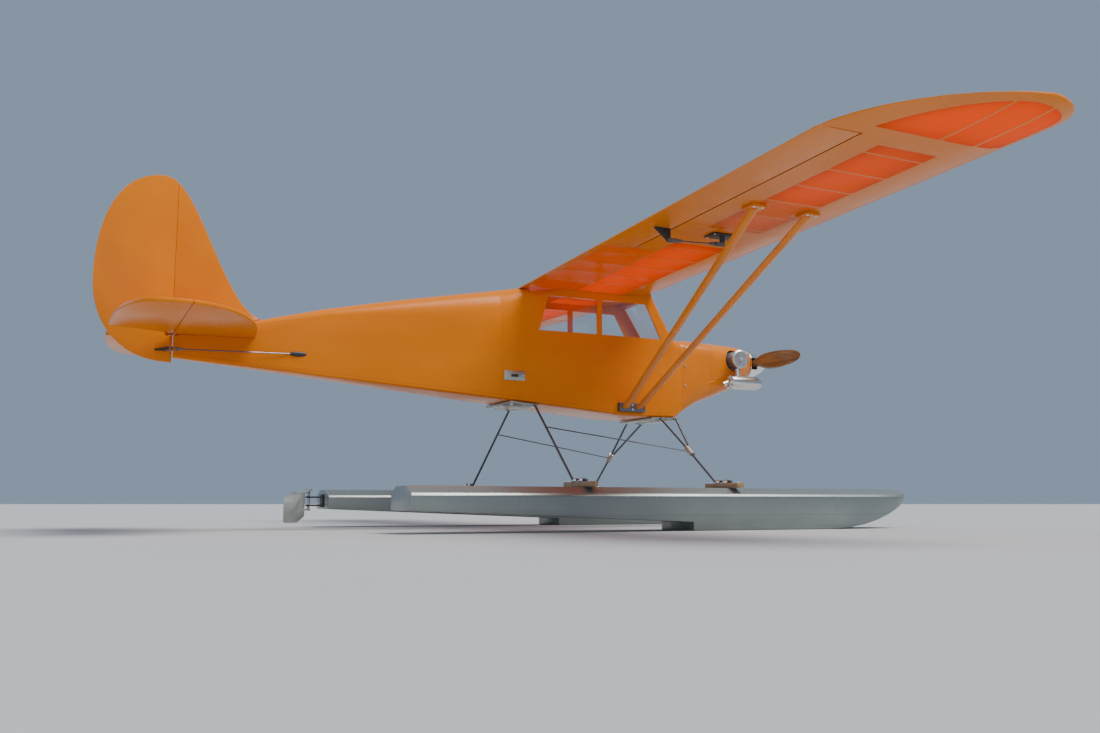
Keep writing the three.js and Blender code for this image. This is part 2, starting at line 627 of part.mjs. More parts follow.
function liftStruts(side, name) {
  const group = new THREE.Group();
  const wall = side * (CABIN.halfWidth + TOUCH);
  const face = wall + side * FITTING.out;
  const [near, far] = [Math.min(wall, face), Math.max(wall, face)];
  const [fittingLow, fittingHigh] = [STRUT.footZ - FITTING.half, STRUT.footZ + FITTING.half];
  const fitting = box(FITTING.back, FITTING.front, near, far, fittingLow, fittingHigh);
  group.add(piece(`strut_fitting_${name}`, fitting, FINISH.steel));
  const [inLow, inHigh] = side > 0 ? [-FAR, face + TOUCH] : [face - TOUCH, FAR];
  const inner = box(-FAR, FAR, inLow, inHigh, -FAR, FAR);
  for (const row of STRUT_ROWS) {
    const y = side * STRUT.root;
    const top = wingUnderside(y);
    const tube = rod([row.footX, face, STRUT.footZ], [row.wingX, y, top - 2], STRUT.width, STRUT.thickness);
    const [clipBack, clipFront] = [row.wingX - CLIP.half, row.wingX + CLIP.half];
    const clip = box(clipBack, clipFront, y - CLIP.half, y + CLIP.half, top - CLIP.drop, top + CLIP.rise);
    const strut = joined(tube, clip).subtract(wingSpace(side, -FAR / 2, FAR / 2)).subtract(inner);
    group.add(piece(`strut_${row.name}_${name}`, strut, FINISH.film));
  }
  return group;
}

// Float gear: wires from two plates under the belly to hardwood bars on the float decks
const WIRE = { thick: 4, thin: 2, outer: 262, wallY: 60, rearWallY: 56, endSlack: 1.6, sides: 8 };
const BAR = { length: 92, width: 14, height: 8 };
const GEAR = { frontX: 22, rearX: -247, kneeY: 216 };
const LEG_TOPS = { front: [12, 197.5], second: [45, 197.5], rear: [-240, 211] };
const FOOT_Z = FLOAT.deck + TOUCH + BAR.height + TOUCH + WIRE.thick / 2;
const JOINT = { x: 19, outerX: 20, secondX: 20.5, y: 144, sleeve: 10, half: 11 };
const BRACE = { y: 106, gap: 0.6 };

function legPoint(top, y) {
  const share = (y - top[1]) / (GEAR.kneeY - top[1]);
  return top[2] + (FOOT_Z - top[2]) * share;
}

function floatGear(side, name) {
  const group = new THREE.Group();
  const at = ([x, y, z]) => [x, side * y, z];
  const wire = (from, to, size = WIRE.thick) => rod(at(from), at(to), size, size, WIRE.sides);
  const knee = (x, z) => {
    const ball = new THREE.SphereGeometry(WIRE.thick / 2, WIRE.sides, WIRE.sides - 2);
    ball.translate(x, side * GEAR.kneeY, z);
    return solid(ball);
  };
  const foot = (x) => wire([x, GEAR.kneeY, FOOT_Z], [x, WIRE.outer, FOOT_Z]);
  const topY = WIRE.wallY + WIRE.endSlack;
  const [top, secondTop] = [LEG_TOPS.front, LEG_TOPS.second].map(([x, z]) => [x, topY, z]);
  const jointZ = legPoint(top, JOINT.y);
  const joint = [JOINT.x, JOINT.y, jointZ];
  const slope = new THREE.Vector3(0, GEAR.kneeY - topY, FOOT_Z - top[2]).normalize();
  const sleeve = wire(
    [JOINT.x, JOINT.y - slope.y * JOINT.half, jointZ - slope.z * JOINT.half],
    [JOINT.outerX, JOINT.y + slope.y * JOINT.half, jointZ + slope.z * JOINT.half],
    JOINT.sleeve,
  );
  const leg = joined(
    wire(top, joint),
    wire(secondTop, [JOINT.secondX, JOINT.y, jointZ]),
    sleeve,
    wire(joint, [GEAR.frontX, GEAR.kneeY, FOOT_Z]),
    knee(GEAR.frontX, FOOT_Z),
    foot(GEAR.frontX),
  );
  group.add(piece(`front_leg_${name}`, leg, FINISH.steel));
  const [rearTopX, rearTopZ] = LEG_TOPS.rear;
  const rearTop = [rearTopX, WIRE.rearWallY + WIRE.endSlack, rearTopZ];
  const rearLeg = joined(
    wire(rearTop, [GEAR.rearX, GEAR.kneeY, FOOT_Z]),
    knee(GEAR.rearX, FOOT_Z),
    foot(GEAR.rearX),
  );
  group.add(piece(`rear_leg_${name}`, rearLeg, FINISH.steel));
  const braceShare = (BRACE.y - rearTop[1]) / (GEAR.kneeY - rearTop[1]);
  const braceX = rearTopX + (GEAR.rearX - rearTopX) * braceShare;
  const brace = wire(
    [JOINT.x - JOINT.sleeve / 2 - BRACE.gap, JOINT.y, jointZ],
    [braceX + WIRE.thick / 2 + BRACE.gap, BRACE.y, legPoint(rearTop, BRACE.y)],
    WIRE.thin,
  );
  group.add(piece(`brace_${name}`, brace, FINISH.steel));
  return group;
}

const BELLY_PLATE = { back: -6, front: 50, thickness: 4 };
const CHANNEL = { back: 15, front: 29, depth: 2 };
const REAR_PLATE = { x: -259, length: 54, width: 112, gap: 0.3 };

function bellyPlates() {
  const group = new THREE.Group();
  const half = WIRE.wallY;
  const seat = bellyZ(0) - TOUCH;
  const face = seat - BELLY_PLATE.thickness;
  const frontPlate = box(BELLY_PLATE.back, BELLY_PLATE.front, -half, half, face, seat);
  const channel = box(CHANNEL.back, CHANNEL.front, -half - 1, half + 1, 0, face + CHANNEL.depth);
  group.add(piece('belly_plate_front', frontPlate.subtract(channel), FINISH.aluminium));
  const { x, length, width, gap } = REAR_PLATE;
  const slope = Math.atan2(bellyZ(x - length / 2) - bellyZ(x + length / 2), length);
  const geometry = new THREE.BoxGeometry(length, width, BELLY_PLATE.thickness);
  geometry.rotateY(slope);
  geometry.translate(x, 0, bellyZ(x) - TOUCH - BELLY_PLATE.thickness / 2 - gap);
  group.add(piece('belly_plate_rear', solid(geometry), FINISH.aluminium));
  return group;
}

// Height of the cabin's belly at a place along it
function bellyZ(x) {
  const i = CABIN_RINGS.findIndex((row) => row.x <= x);
  const [fore, aft] = [CABIN_RINGS[i - 1], CABIN_RINGS[i]];
  return aft.bottom + ((fore.bottom - aft.bottom) * (x - aft.x)) / (fore.x - aft.x);
}

// Floats: flat bottom, one step, deck with a flat strip along its middle
const FLOAT_STATIONS = [FLOAT.stern, 200, 240, 280, 310, 335, 355, 372, 385, 394, NOSE_END];
const DECK = { flatShare: 0.52, shoulder: 4, corner: 3, chine: 1.5, bowDrop: 4 };
const UNDERCUT = { overrun: 0.05, below: -50, half: 100 };

function floatRing(x, y) {
  const run = Math.max(0, (x - BOW.start) / (NOSE_END - BOW.start));
  const bottom = BOW.rise * run ** BOW.risePower;
  const round = Math.max(0, (x - BOW.roundStart) / (BOW.roundEnd - BOW.roundStart));
  const half = FLOAT.half * (1 - round ** BOW.roundPower) ** (1 / BOW.roundPower);
  const narrow = half / FLOAT.half;
  const drop = (FLOAT.deck - FLOAT.edge) * narrow;
  const deck = FLOAT.deck - (1 - narrow) * DECK.bowDrop;
  const side = [
    [half - DECK.chine, bottom],
    [half, bottom + DECK.chine],
    [half, Math.max(deck - drop - DECK.shoulder, bottom + DECK.chine + 1)],
    [half - DECK.corner * narrow, deck - drop],
    [half * DECK.flatShare, deck],
  ];
  const port = side.map(([out, z]) => [x, y + out, z]);
  const starboard = side.map(([out, z]) => [x, y - out, z]).reverse();
  return [...port, ...starboard];
}

function floatHull(side, name) {
  const y = side * FLOAT.y;
  const hull = loft(FLOAT_STATIONS.map((x) => floatRing(x, y)));
  const { overrun, below, half } = UNDERCUT;
  const endX = FLOAT.stern - (FLOAT.step - FLOAT.stern) * overrun;
  const endZ = FLOAT.sternZ + (FLOAT.sternZ - FLOAT.stepZ) * overrun;
  const profile = [[FLOAT.step, below], [FLOAT.step, FLOAT.stepZ], [endX, endZ], [endX, below]];
  return piece(`float_${name}`, hull.subtract(prism(profile, y - half, y + half)), FINISH.floatGrey);
}

function deckBar(side, sideName, x, name) {
  const y = side * FLOAT.y;
  const low = FLOAT.deck + TOUCH;
  const [back, front] = [x - BAR.width / 2, x + BAR.width / 2];
  const bar = box(back, front, y - BAR.length / 2, y + BAR.length / 2, low, low + BAR.height);
  return piece(`deck_bar_${name}_${sideName}`, bar, FINISH.wood);
}

// Water rudder: bracket on the left float's stern, blade turning on an upright pin
const BRACKET = { depth: 3, half: 12, low: 36, high: 60, lugs: [38, 53], lugHalf: 5, lugBack: 5, bore: 3.1 };
const WATER_RUDDER = { axis: -561, pin: 2.5, pinLow: 30, pinHigh: 68, sheet: 2, arms: [30, 61], armBack: 10 };
const WATER_BLADE = [[-568, 64], [-568, 20], [-581, 8], [-603, 8], [-606, 11], [-606, 52], [-589, 64]];
const TILLER = { half: 3, reach: 17, z: 66 };
const STRIP = 3;

function waterRudder() {
  const group = new THREE.Group();
  const { axis, pin, pinLow, pinHigh, sheet, arms, armBack } = WATER_RUDDER;
  const { y } = FLOAT;
  const { depth, half, low, high, lugs, lugHalf, lugBack, bore } = BRACKET;
  const base = box(FLOAT.stern - depth, FLOAT.stern - TOUCH, y - half, y + half, low, high);
  const lug = (z) => box(axis - lugBack, FLOAT.stern - depth + 1, y - lugHalf, y + lugHalf, z, z + STRIP);
  const hole = rod([axis, y, 0], [axis, y, FAR], 2 * bore);
  group.add(piece('water_rudder_bracket', joined(base, ...lugs.map(lug)).subtract(hole), FINISH.black));
  const blade = plate(outline(WATER_BLADE), sheet, 0);
  blade.rotateX(Math.PI / 2);
  blade.translate(0, y, 0);
  const arm = (z) => box(axis - armBack, axis + STRIP, y - STRIP, y + STRIP, z, z + STRIP);
  const bar = [axis - TILLER.half, axis + TILLER.half, y - TILLER.reach, y + TILLER.reach];
  const tiller = box(...bar, TILLER.z, TILLER.z + STRIP);
  const post = rod([axis, y, pinLow], [axis, y, pinHigh], 2 * pin);
  group.add(piece('water_rudder', joined(post, solid(blade), ...arms.map(arm), tiller), FINISH.aluminium));
  return group;
}

// The whole aeroplane, with the origin under the middle of its outer box
const aeroplane = new THREE.Group();
aeroplane.position.x = -(NOSE_END + TAIL_END) / 2;
aeroplane.add(cabin(), rearFuselage(), cowl(), engine(), propeller());
aeroplane.add(tailplane(), uprightTail(), bellyPlates(), waterRudder());
for (const [name, side] of Object.entries(SIDES)) {
  aeroplane.add(wingPanel(side, name), liftStruts(side, name), floatGear(side, name), floatHull(side, name));
  aeroplane.add(deckBar(side, name, GEAR.frontX, 'front'), deckBar(side, name, GEAR.rearX, 'rear'));
}

export default aeroplane;
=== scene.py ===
# %% [markdown]
# # A model floatplane, dressed round its frame
#
# The frame is the aeroplane as plain solids: every wire, panel and hinge at its real size. This
# lesson gives it its looks. Film shrinks tight over ribs, wood shows its grain, metal is turned or
# cast, and wires are bent round a mandrel. Everything is in metres, +X to the nose, +Y to the left
# wing tip, +Z up, and nothing that the frame holds is moved.

# %% Load the frame
import math

import bmesh
import bpy
from mathutils import Matrix, Vector
from mathutils.bvhtree import BVHTree
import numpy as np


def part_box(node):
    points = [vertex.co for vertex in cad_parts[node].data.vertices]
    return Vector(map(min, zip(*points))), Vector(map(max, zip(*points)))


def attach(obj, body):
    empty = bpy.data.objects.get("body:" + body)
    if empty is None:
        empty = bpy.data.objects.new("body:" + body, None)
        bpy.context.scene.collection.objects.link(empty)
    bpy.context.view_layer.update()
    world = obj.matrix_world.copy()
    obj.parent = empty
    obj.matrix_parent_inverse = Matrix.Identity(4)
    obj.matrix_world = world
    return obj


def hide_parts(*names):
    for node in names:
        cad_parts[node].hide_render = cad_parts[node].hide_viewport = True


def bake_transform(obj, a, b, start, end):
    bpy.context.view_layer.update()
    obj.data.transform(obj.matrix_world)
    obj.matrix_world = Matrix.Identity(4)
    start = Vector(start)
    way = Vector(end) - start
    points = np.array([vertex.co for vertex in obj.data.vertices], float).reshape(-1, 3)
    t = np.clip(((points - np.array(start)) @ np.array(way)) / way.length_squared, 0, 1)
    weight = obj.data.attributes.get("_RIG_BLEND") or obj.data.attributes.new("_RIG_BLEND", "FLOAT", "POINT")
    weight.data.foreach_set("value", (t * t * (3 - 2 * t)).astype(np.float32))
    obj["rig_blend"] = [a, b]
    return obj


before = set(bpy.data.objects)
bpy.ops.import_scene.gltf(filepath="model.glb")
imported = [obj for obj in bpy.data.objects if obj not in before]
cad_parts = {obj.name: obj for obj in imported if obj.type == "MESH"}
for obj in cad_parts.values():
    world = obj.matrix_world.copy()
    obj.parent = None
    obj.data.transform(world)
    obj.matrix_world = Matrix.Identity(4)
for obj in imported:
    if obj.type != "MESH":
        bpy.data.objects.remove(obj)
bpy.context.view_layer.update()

MM = 0.001

# %% [markdown]
# ## Datums
#
# A builder works from a few datum lines: the wing's leading edge, the wing's seat on the cabin and
# the propeller shaft. They come from the frame's own boxes, so that the looks follow the solids.
# Each wing panel also has a frame of its own, because it is built flat and then tilted up by the
# dihedral angle.

# %% Datum lines
WING_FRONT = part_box("wing_left")[1].x
WING_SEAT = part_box("wing_left")[0].z
DIHEDRAL = math.radians(1.75)
SHAFT_Z = (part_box("spinner")[0].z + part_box("spinner")[1].z) / 2
SIDES = {"left": 1, "right": -1}
ROOT = "airframe"
FORWARD = Vector((1, 0, 0))
LEFT = Vector((0, 1, 0))
UP = Vector((0, 0, 1))


def panel(side, back, outward, up):
    """A point of a wing panel, from its distances behind the leading edge, outward and up, in mm."""
    lift = Vector((0, -side * math.sin(DIHEDRAL), math.cos(DIHEDRAL)))
    out = Vector((0, side * math.cos(DIHEDRAL), math.sin(DIHEDRAL)))
    return Vector((WING_FRONT - back * MM, 0, WING_SEAT)) + out * outward * MM + lift * up * MM


def spot(x, y, z):
    """A point x ahead of the leading edge (behind it if negative), at y and z, in mm."""
    return Vector((WING_FRONT + x * MM, y * MM, z * MM))


print("leading edge at", round(WING_FRONT, 4), "and shaft at", round(SHAFT_Z, 4))

# %% [markdown]
# ## Shader sums
#
# A pattern such as a rib line is arithmetic on a point's place. Written as nodes it is a long list
# of Math nodes, and written as Python it is one line. The class Signal wraps a socket, and each
# sum on it adds its node. Finish is one material: its constants go on the shader's own sockets,
# and make() adds any other node.

# %% Signal
class Signal:
    """One socket of a finish. A sum on it adds a Math node."""

    def __init__(self, finish, socket):
        self.finish = finish
        self.socket = socket

    def sum(self, operation, *values):
        return self.finish.make("Math", {"operation": operation}, dict(enumerate(values)))

    def __add__(self, other):
        return self.sum("ADD", self, other)

    def __sub__(self, other):
        return self.sum("SUBTRACT", self, other)

    def __rsub__(self, other):
        return self.sum("SUBTRACT", other, self)

    def __mul__(self, other):
        return self.sum("MULTIPLY", self, other)

    def __truediv__(self, other):
        return self.sum("DIVIDE", self, other)

    def __pow__(self, power):
        return self.sum("POWER", self, power)

    def __abs__(self):
        return self.sum("ABSOLUTE", self)

    __radd__, __rmul__ = __add__, __mul__

    def most(self, other):
        return self.sum("MAXIMUM", self, other)

    def least(self, other):
        return self.sum("MINIMUM", self, other)

    def past(self, edge, blur=0.4 * MM):
        """1 past the edge and 0 before it, with a soft border."""
        ends = {"Value": self, "From Min": edge - blur, "From Max": edge + blur}
        return self.finish.make("MapRange", {"interpolation_type": "SMOOTHSTEP"}, ends)

    def between(self, low, high, blur=0.4 * MM):
        return self.past(low, blur) * (1 - self.past(high, blur))

    def near_each(self, pitch, half, blur=0.4 * MM):
        """1 within half of each multiple of the pitch."""
        return 1 - self.sum("PINGPONG", self, pitch / 2).past(half, blur)


# %% Finish
class Finish:
    """A material with one Principled shader."""

    def __init__(self, name, colour, roughness, **constants):
        self.material = bpy.data.materials.new(name)
        self.material.use_nodes = True
        self.tree = self.material.node_tree
        self.shader = self.tree.nodes["Principled BSDF"]
        self.set("Base Color", colour)
        self.set("Roughness", roughness)
        for socket, value in constants.items():
            self.set(socket.replace("_", " "), value)

    def make(self, kind, settings=None, values=None, out=0):
        """Adds a node, sets it, fills its sockets and gives one of its outputs."""
        node = self.tree.nodes.new("ShaderNode" + kind)
        for key, value in (settings or {}).items():
            setattr(node, key, value)
        for key, value in (values or {}).items():
            self.plug(node.inputs[key], value)
        return Signal(self, node.outputs[out])

    def plug(self, socket, value):
        if isinstance(value, Signal):
            self.tree.links.new(value.socket, socket)
        elif socket.type == "RGBA" and len(value) == 3:
            socket.default_value = (*value, 1)
        else:
            socket.default_value = value

    def set(self, socket, value):
        self.plug(self.shader.inputs[socket], value)

    def place(self):
        """Object coordinates, which are the aeroplane's own."""
        return self.make("TexCoord", out="Object")

    def axes(self):
        split = self.make("SeparateXYZ", values={"Vector": self.place()}).socket.node
        return [Signal(self, output) for output in split.outputs]

    def noise(self, scale, detail=3.0, stretch=(1, 1, 1)):
        """Noise with its grain drawn out along the axes whose stretch is small."""
        where = self.make("Mapping", values={"Vector": self.place(), "Scale": stretch})
        return self.make("TexNoise", values={"Vector": where, "Scale": scale, "Detail": detail})

    def mix(self, share, first, second):
        """A colour between two colours."""
        sockets = {0: share, 6: first, 7: second}
        return self.make("Mix", {"data_type": "RGBA"}, sockets, out=2)

    def spread(self, signal, low, high):
        """Noise between a third and two thirds, spread over low to high."""
        ends = {"Value": signal, "From Min": 0.33, "From Max": 0.67, "To Min": low, "To Max": high}
        return self.make("MapRange", values=ends)

    def relief(self, height, depth):
        """Bump from a height between 0 and 1 that stands for a real depth."""
        sockets = {"Height": height, "Distance": depth, "Strength": 1.0}
        self.set("Normal", self.make("Bump", values=sockets))


print("Signal and Finish are ready")

# %% [markdown]
# ## Shaping
#
# A few small helpers do the handwork. merged() copies a solid of the frame and joins its loose
# triangles into faces, because only the edges of whole faces can be rounded. finished() turns a
# shape into a piece that rides on its body, and copied() does so for a piece that takes the place
# of a node.

# %% Copies, edges and pieces
WELD = 1e-6


def merged(node, flatten=0.5):
    """A copy of a solid of the frame, with its triangles joined into faces."""
    bm = bmesh.new()
    bm.from_mesh(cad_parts[node].data)
    bmesh.ops.remove_doubles(bm, verts=bm.verts, dist=WELD)
    if flatten:
        limit = math.radians(flatten)
        bmesh.ops.dissolve_limit(bm, angle_limit=limit, verts=bm.verts, edges=bm.edges, delimit=set())
    return bm


def rounded(bm, width, least=40, segments=2):
    """Rounds every edge that turns by more than a number of degrees."""
    sharp = [e for e in bm.edges if e.is_manifold and math.degrees(e.calc_face_angle(0)) > least]
    bmesh.ops.bevel(
        bm, geom=sharp, offset=width * MM, offset_type="OFFSET", segments=segments,
        profile=0.5, affect="EDGES", clamp_overlap=True, material=-1,
    )
    return bm


def linked(name, data):
    """A new object in the scene."""
    made = bpy.data.objects.new(name, data)
    bpy.context.scene.collection.objects.link(made)
    return made


def finished(name, bm, finish, body=ROOT, replaces=(), sharp=35, own=True):
    """Makes the mesh a piece. own is for a shape made here, whose normals are worked out anew."""
    if own:
        bmesh.ops.recalc_face_normals(bm, faces=bm.faces)
    mesh = bpy.data.meshes.new(name)
    bm.to_mesh(mesh)
    bm.free()
    for layer in [a for a in mesh.attributes if a.name == "custom_normal"]:
        mesh.attributes.remove(layer)
    mesh.shade_smooth()
    mesh.set_sharp_from_angle(angle=math.radians(sharp))
    mesh.materials.clear()
    for each in finish if isinstance(finish, list) else [finish]:
        mesh.materials.append(each.material)
    piece = linked(name, mesh)
    if body:
        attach(piece, body)
    if replaces:
        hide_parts(*replaces)
    print(f"{name}: {len(mesh.polygons)} faces")
    return piece


def copied(node, ending, finish, body=ROOT, bm=None, ease=0.0, sharp=35):
    """A piece in place of a node, from its solid or from bm, its edges eased by some mm."""
    if bm is None:
        bm = merged(node)
    if ease:
        rounded(bm, ease)
    finished(f"{node}_{ending}", bm, finish, body, [node], sharp, own=False)


# %% [markdown]
# ### Lathe, wire and box
#
# Small parts are turned from bar, bent from wire or cut from block. turned() spins an outline, as a
# lathe does. tube() gives a curve a round section and keeps the mesh, since a curve can't be joined
# to other shapes. block() is a box whose edges can be eased. Each adds to a mesh, so that a dozen
# screws can be one piece.

# %% Lathe, wire and box
FINE_WELD = 1e-7


def turn(origin, axis):
    """The transform that stands +Z along an axis at a point."""
    return Matrix.Translation(origin) @ UP.rotation_difference(Vector(axis)).to_matrix().to_4x4()


def fresh(bm):
    """The points added since the last call of settle()."""
    return [v for v in bm.verts if not v.tag]


def settle(bm):
    for v in fresh(bm):
        v.tag = True
    return bm


def turned(bm, profile, origin, axis, steps):
    """Adds a lathe's work: profile is radius and height in mm, from the axis back to the axis."""
    verts = [bm.verts.new((radius * MM, 0, height * MM)) for radius, height in profile]
    edges = [bm.edges.new(pair) for pair in zip(verts, verts[1:])]
    bmesh.ops.spin(
        bm, geom=verts + edges, cent=(0, 0, 0), axis=(0, 0, 1), angle=2 * math.pi,
        steps=steps, use_merge=True, use_duplicate=False,
    )
    bmesh.ops.remove_doubles(bm, verts=fresh(bm), dist=FINE_WELD)
    bmesh.ops.transform(bm, matrix=turn(origin, axis), verts=fresh(bm))
    return settle(bm)


def applied(carrier):
    """The mesh that an object's curve or modifiers come to."""
    bpy.context.view_layer.update()
    evaluated = carrier.evaluated_get(bpy.context.evaluated_depsgraph_get())
    return bpy.data.meshes.new_from_object(evaluated)


def tube(bm, points, radius, sides):
    """Adds a round wire with closed ends along points, its radius in mm."""
    curve = bpy.data.curves.new("route", "CURVE")
    curve.dimensions = "3D"
    curve.bevel_depth = radius * MM
    curve.bevel_resolution = max(1, sides // 4 - 1)
    curve.use_fill_caps = True
    spline = curve.splines.new("POLY")
    spline.points.add(len(points) - 1)
    for knot, point in zip(spline.points, points):
        knot.co = (*point, 1)
    carrier = linked("route", curve)
    mesh = applied(carrier)
    bm.from_mesh(mesh)
    bpy.data.objects.remove(carrier)
    bpy.data.curves.remove(curve)
    bpy.data.meshes.remove(mesh)
    bmesh.ops.remove_doubles(bm, verts=fresh(bm), dist=FINE_WELD)
    return settle(bm)


def bent(points, radius, steps=6):
    """The route of a wire through corners, each bent round a radius in mm."""
    route = [Vector(points[0])]
    for before, corner, after in zip(points, points[1:], points[2:]):
        into = (Vector(before) - Vector(corner)).normalized()
        out = (Vector(after) - Vector(corner)).normalized()
        reach = radius * MM / math.tan(max(into.angle(out), 0.01) / 2)
        start, end = Vector(corner) + into * reach, Vector(corner) + out * reach
        for i in range(steps + 1):
            t = i / steps
            route.append(start.lerp(Vector(corner), t).lerp(Vector(corner).lerp(end, t), t))
    return route + [Vector(points[-1])]


def block(bm, low, high, matrix=None, ease=0.0):
    """Adds a box between two corners in metres, its edges eased by some mm."""
    low, high = Vector(low), Vector(high)
    size = Matrix.Diagonal((*(high - low), 1))
    where = (matrix or Matrix()) @ Matrix.Translation((low + high) / 2) @ size
    made = bmesh.ops.create_cube(bm, size=1.0, matrix=where)["verts"]
    if ease:
        bmesh.ops.bevel(
            bm, geom=list({e for v in made for e in v.link_edges}), offset=ease * MM,
            offset_type="OFFSET", segments=2, profile=0.5, affect="EDGES", material=-1,
        )
    return settle(bm)


# %% [markdown]
# ### Screws
#
# A screw head that floats or drowns is seen at once. Typing the height of each seat would be one
# way, but it goes wrong with the next change of a solid. Here a ray finds the face and its slope,
# and the head is set on it and sunk a little.

# %% Screws that find their face
TREES = {}
RAY_START = 0.05
SUNK = 0.15
# A head of radius 1 with its socket, and the radius of the heads at each place in mm.
SCREW = ((0, 0), (1, 0), (1, 0.55), (0.86, 0.75), (0.45, 0.75), (0.45, 0.35), (0, 0.35))
SCREW_R = {
    "cylinder": 2.0, "cowl": 2.0, "clip": 1.9, "bolt": 2.0, "saddle": 1.7, "bar": 2.6,
    "belly": 2.4, "servo": 1.3, "switch": 1.8,
}


def surface(node, point, towards):
    """Where a ray through a point first meets a solid of the frame, and that face's normal."""
    if node not in TREES:
        bm = merged(node, flatten=0)
        TREES[node] = BVHTree.FromBMesh(bm)
        bm.free()
    towards = Vector(towards).normalized()
    return TREES[node].ray_cast(Vector(point) - towards * RAY_START, towards)[:2]


def screw(bm, origin, axis, radius):
    """Adds a socket screw's head, sunk a little so that it sits."""
    profile = [(r * radius, h * radius - SUNK) for r, h in SCREW]
    turned(bm, profile, origin, axis, steps=16)


def screws(bm, node, points, towards, radius):
    """Adds a screw head on a solid for each point."""
    for point in points:
        place, normal = surface(node, point, towards)
        screw(bm, place, normal, radius)


print("shaping helpers are ready")

# %% [markdown]
# ## Covering film
#
# The whole airframe wears one iron-on film, a deep orange yellow. Over sheet wood it is opaque and
# shows the grain as a faint relief. Over an open bay nothing lies behind it, so daylight comes
# through and the bay glows red orange from below. Two shaders are mixed for that: a glossy one,
# and a translucent one whose share is 0 over wood.

# %% Film over wood
FILM = (0.80, 0.222, 0.006)
FILM_DEEP = (0.62, 0.135, 0.003)
FILM_GLOSS = {"Coat_Weight": 0.03, "Coat_Roughness": 0.1, "Specular_IOR_Level": 0.12}
GRAIN = {"x": (0.05, 1, 1), "y": (1, 0.05, 1), "z": (1, 1, 0.05)}
BELLY = {"z": 0.200, "from": 0.060, "slope": 0.0845}
LAP = {"height": 7 * MM, "half": 0.35 * MM, "tone": 0.8, "sink": 0.5}
LINE_BLUR = 0.3 * MM
FILM_RELIEF = 0.4 * MM


def over_sheet(made, along):
    """What shows of the wood under the film: slow clouds, the sheets' tone and their grain."""
    cloud = made.noise(8, detail=2)
    sheets = made.noise(15, detail=1, stretch=GRAIN[along])
    tone = made.spread(cloud * 0.5 + sheets * 0.5, 0.0, 0.45)
    return cloud, tone, made.noise(300, detail=2, stretch=GRAIN[along])


def film(name, along="x", laps=False):
    """Film over sheet wood whose grain runs along an axis. laps show where two films overlap."""
    made = Finish(name, FILM, 0.26, **FILM_GLOSS)
    cloud, tone, grain = over_sheet(made, along)
    height = grain * 0.25 + made.noise(30, detail=1) * 0.75
    if laps:
        x, _, z = made.axes()
        belly = (WING_FRONT - x - BELLY["from"]).most(0) * BELLY["slope"] + BELLY["z"]
        line = 1 - abs(z - belly - LAP["height"]).past(LAP["half"], LINE_BLUR)
        tone = (tone + line * LAP["tone"]).least(1)
        height = height - line * LAP["sink"]
    made.set("Base Color", made.mix(tone, FILM, FILM_DEEP))
    made.set("Roughness", made.spread(cloud, 0.20, 0.33))
    made.relief(height, FILM_RELIEF)
    return made


FILM_BODY = film("film over fuselage sheet", laps=True)
FILM_TAIL = film("film over tail sheet", along="y")
print("film finishes:", FILM_BODY.material.name, FILM_TAIL.material.name)

# %% [markdown]
# ### The wing's open bays
#
# From below the wing's structure shows: a sheeted leading edge, a main spar, a strip of open bays,
# sheeting ahead of the ailerons, a boxed bay for each servo, a solid rib at the tip and one open
# bay beyond it. Inboard of the ailerons a second strip runs to the trailing edge. All of it is a
# function of two distances, outward and behind the leading edge, so a table of rectangles holds it.

# %% Where the bays are
RIB_PITCH = 60.5 * MM
RIB_HALF = 1.6 * MM
BAY_COLUMNS = ("near", "far", "front", "back", "light")
OPEN_BAYS = [
    dict(zip(BAY_COLUMNS, row))
    for row in (
        (-0.010, 0.388, 0.066, 0.160, 1.00),
        (-0.010, 0.336, 0.165, 0.250, 0.55),
        (0.475, 0.605, 0.070, 0.160, 0.55),
        (0.605, 0.810, 0.070, 0.160, 0.90),
    )
]
TIP_BAY = {"near": 0.849, "front": 0.075, "rim": 0.012, "spars": (0.053, 0.106), "spar": 1.8 * MM}
TIP_BACK = {"chord": 0.132, "from": 0.817, "span": 0.140, "power": 1.8}
TIP_NOSE = {"chord": 0.063, "from": 0.916, "span": 0.041}
ANCHOR = {"out": 0.572, "backs": (0.066, 0.156), "half": 0.017}
WING_SEAM = {"back": 0.011, "out": 0.014, "half": 0.35 * MM, "tone": 0.6, "sink": 0.5}
GLOW = (0.92, 0.23, 0.012)
GLOW_SHARE = 0.82


def tip_bay(back, out):
    """1 inside the open bay of the rounded tip, and 0 on its rim, spars and round them."""
    behind = ((back - TIP_BAY["front"]).most(0) / TIP_BACK["chord"]) ** TIP_BACK["power"]
    behind = behind + ((out - TIP_BACK["from"]).most(0) / TIP_BACK["span"]) ** TIP_BACK["power"]
    ahead = ((TIP_BAY["front"] - back).most(0) / TIP_NOSE["chord"]) ** 2
    ahead = ahead + ((out - TIP_NOSE["from"]).most(0) / TIP_NOSE["span"]) ** 2
    inside = 1 - behind.most(ahead).past(1, 0.01)
    first, second = (abs(back - place) for place in TIP_BAY["spars"])
    spars = first.least(second).past(TIP_BAY["spar"])
    return inside * spars * out.past(TIP_BAY["near"]) * back.past(TIP_BAY["rim"])


def open_share(back, out):
    """1 where film spans an open bay, less where little light comes through, 0 over wood."""
    ribs = out.near_each(RIB_PITCH, RIB_HALF)
    bays = 0
    for bay in OPEN_BAYS:
        strip = back.between(bay["front"], bay["back"]) * out.between(bay["near"], bay["far"])
        bays = bays + strip * bay["light"]
    first, second = (abs(back - place).most(abs(out - ANCHOR["out"])) for place in ANCHOR["backs"])
    return (bays * (1 - ribs) * first.least(second).past(ANCHOR["half"]) + tip_bay(back, out)).least(1)


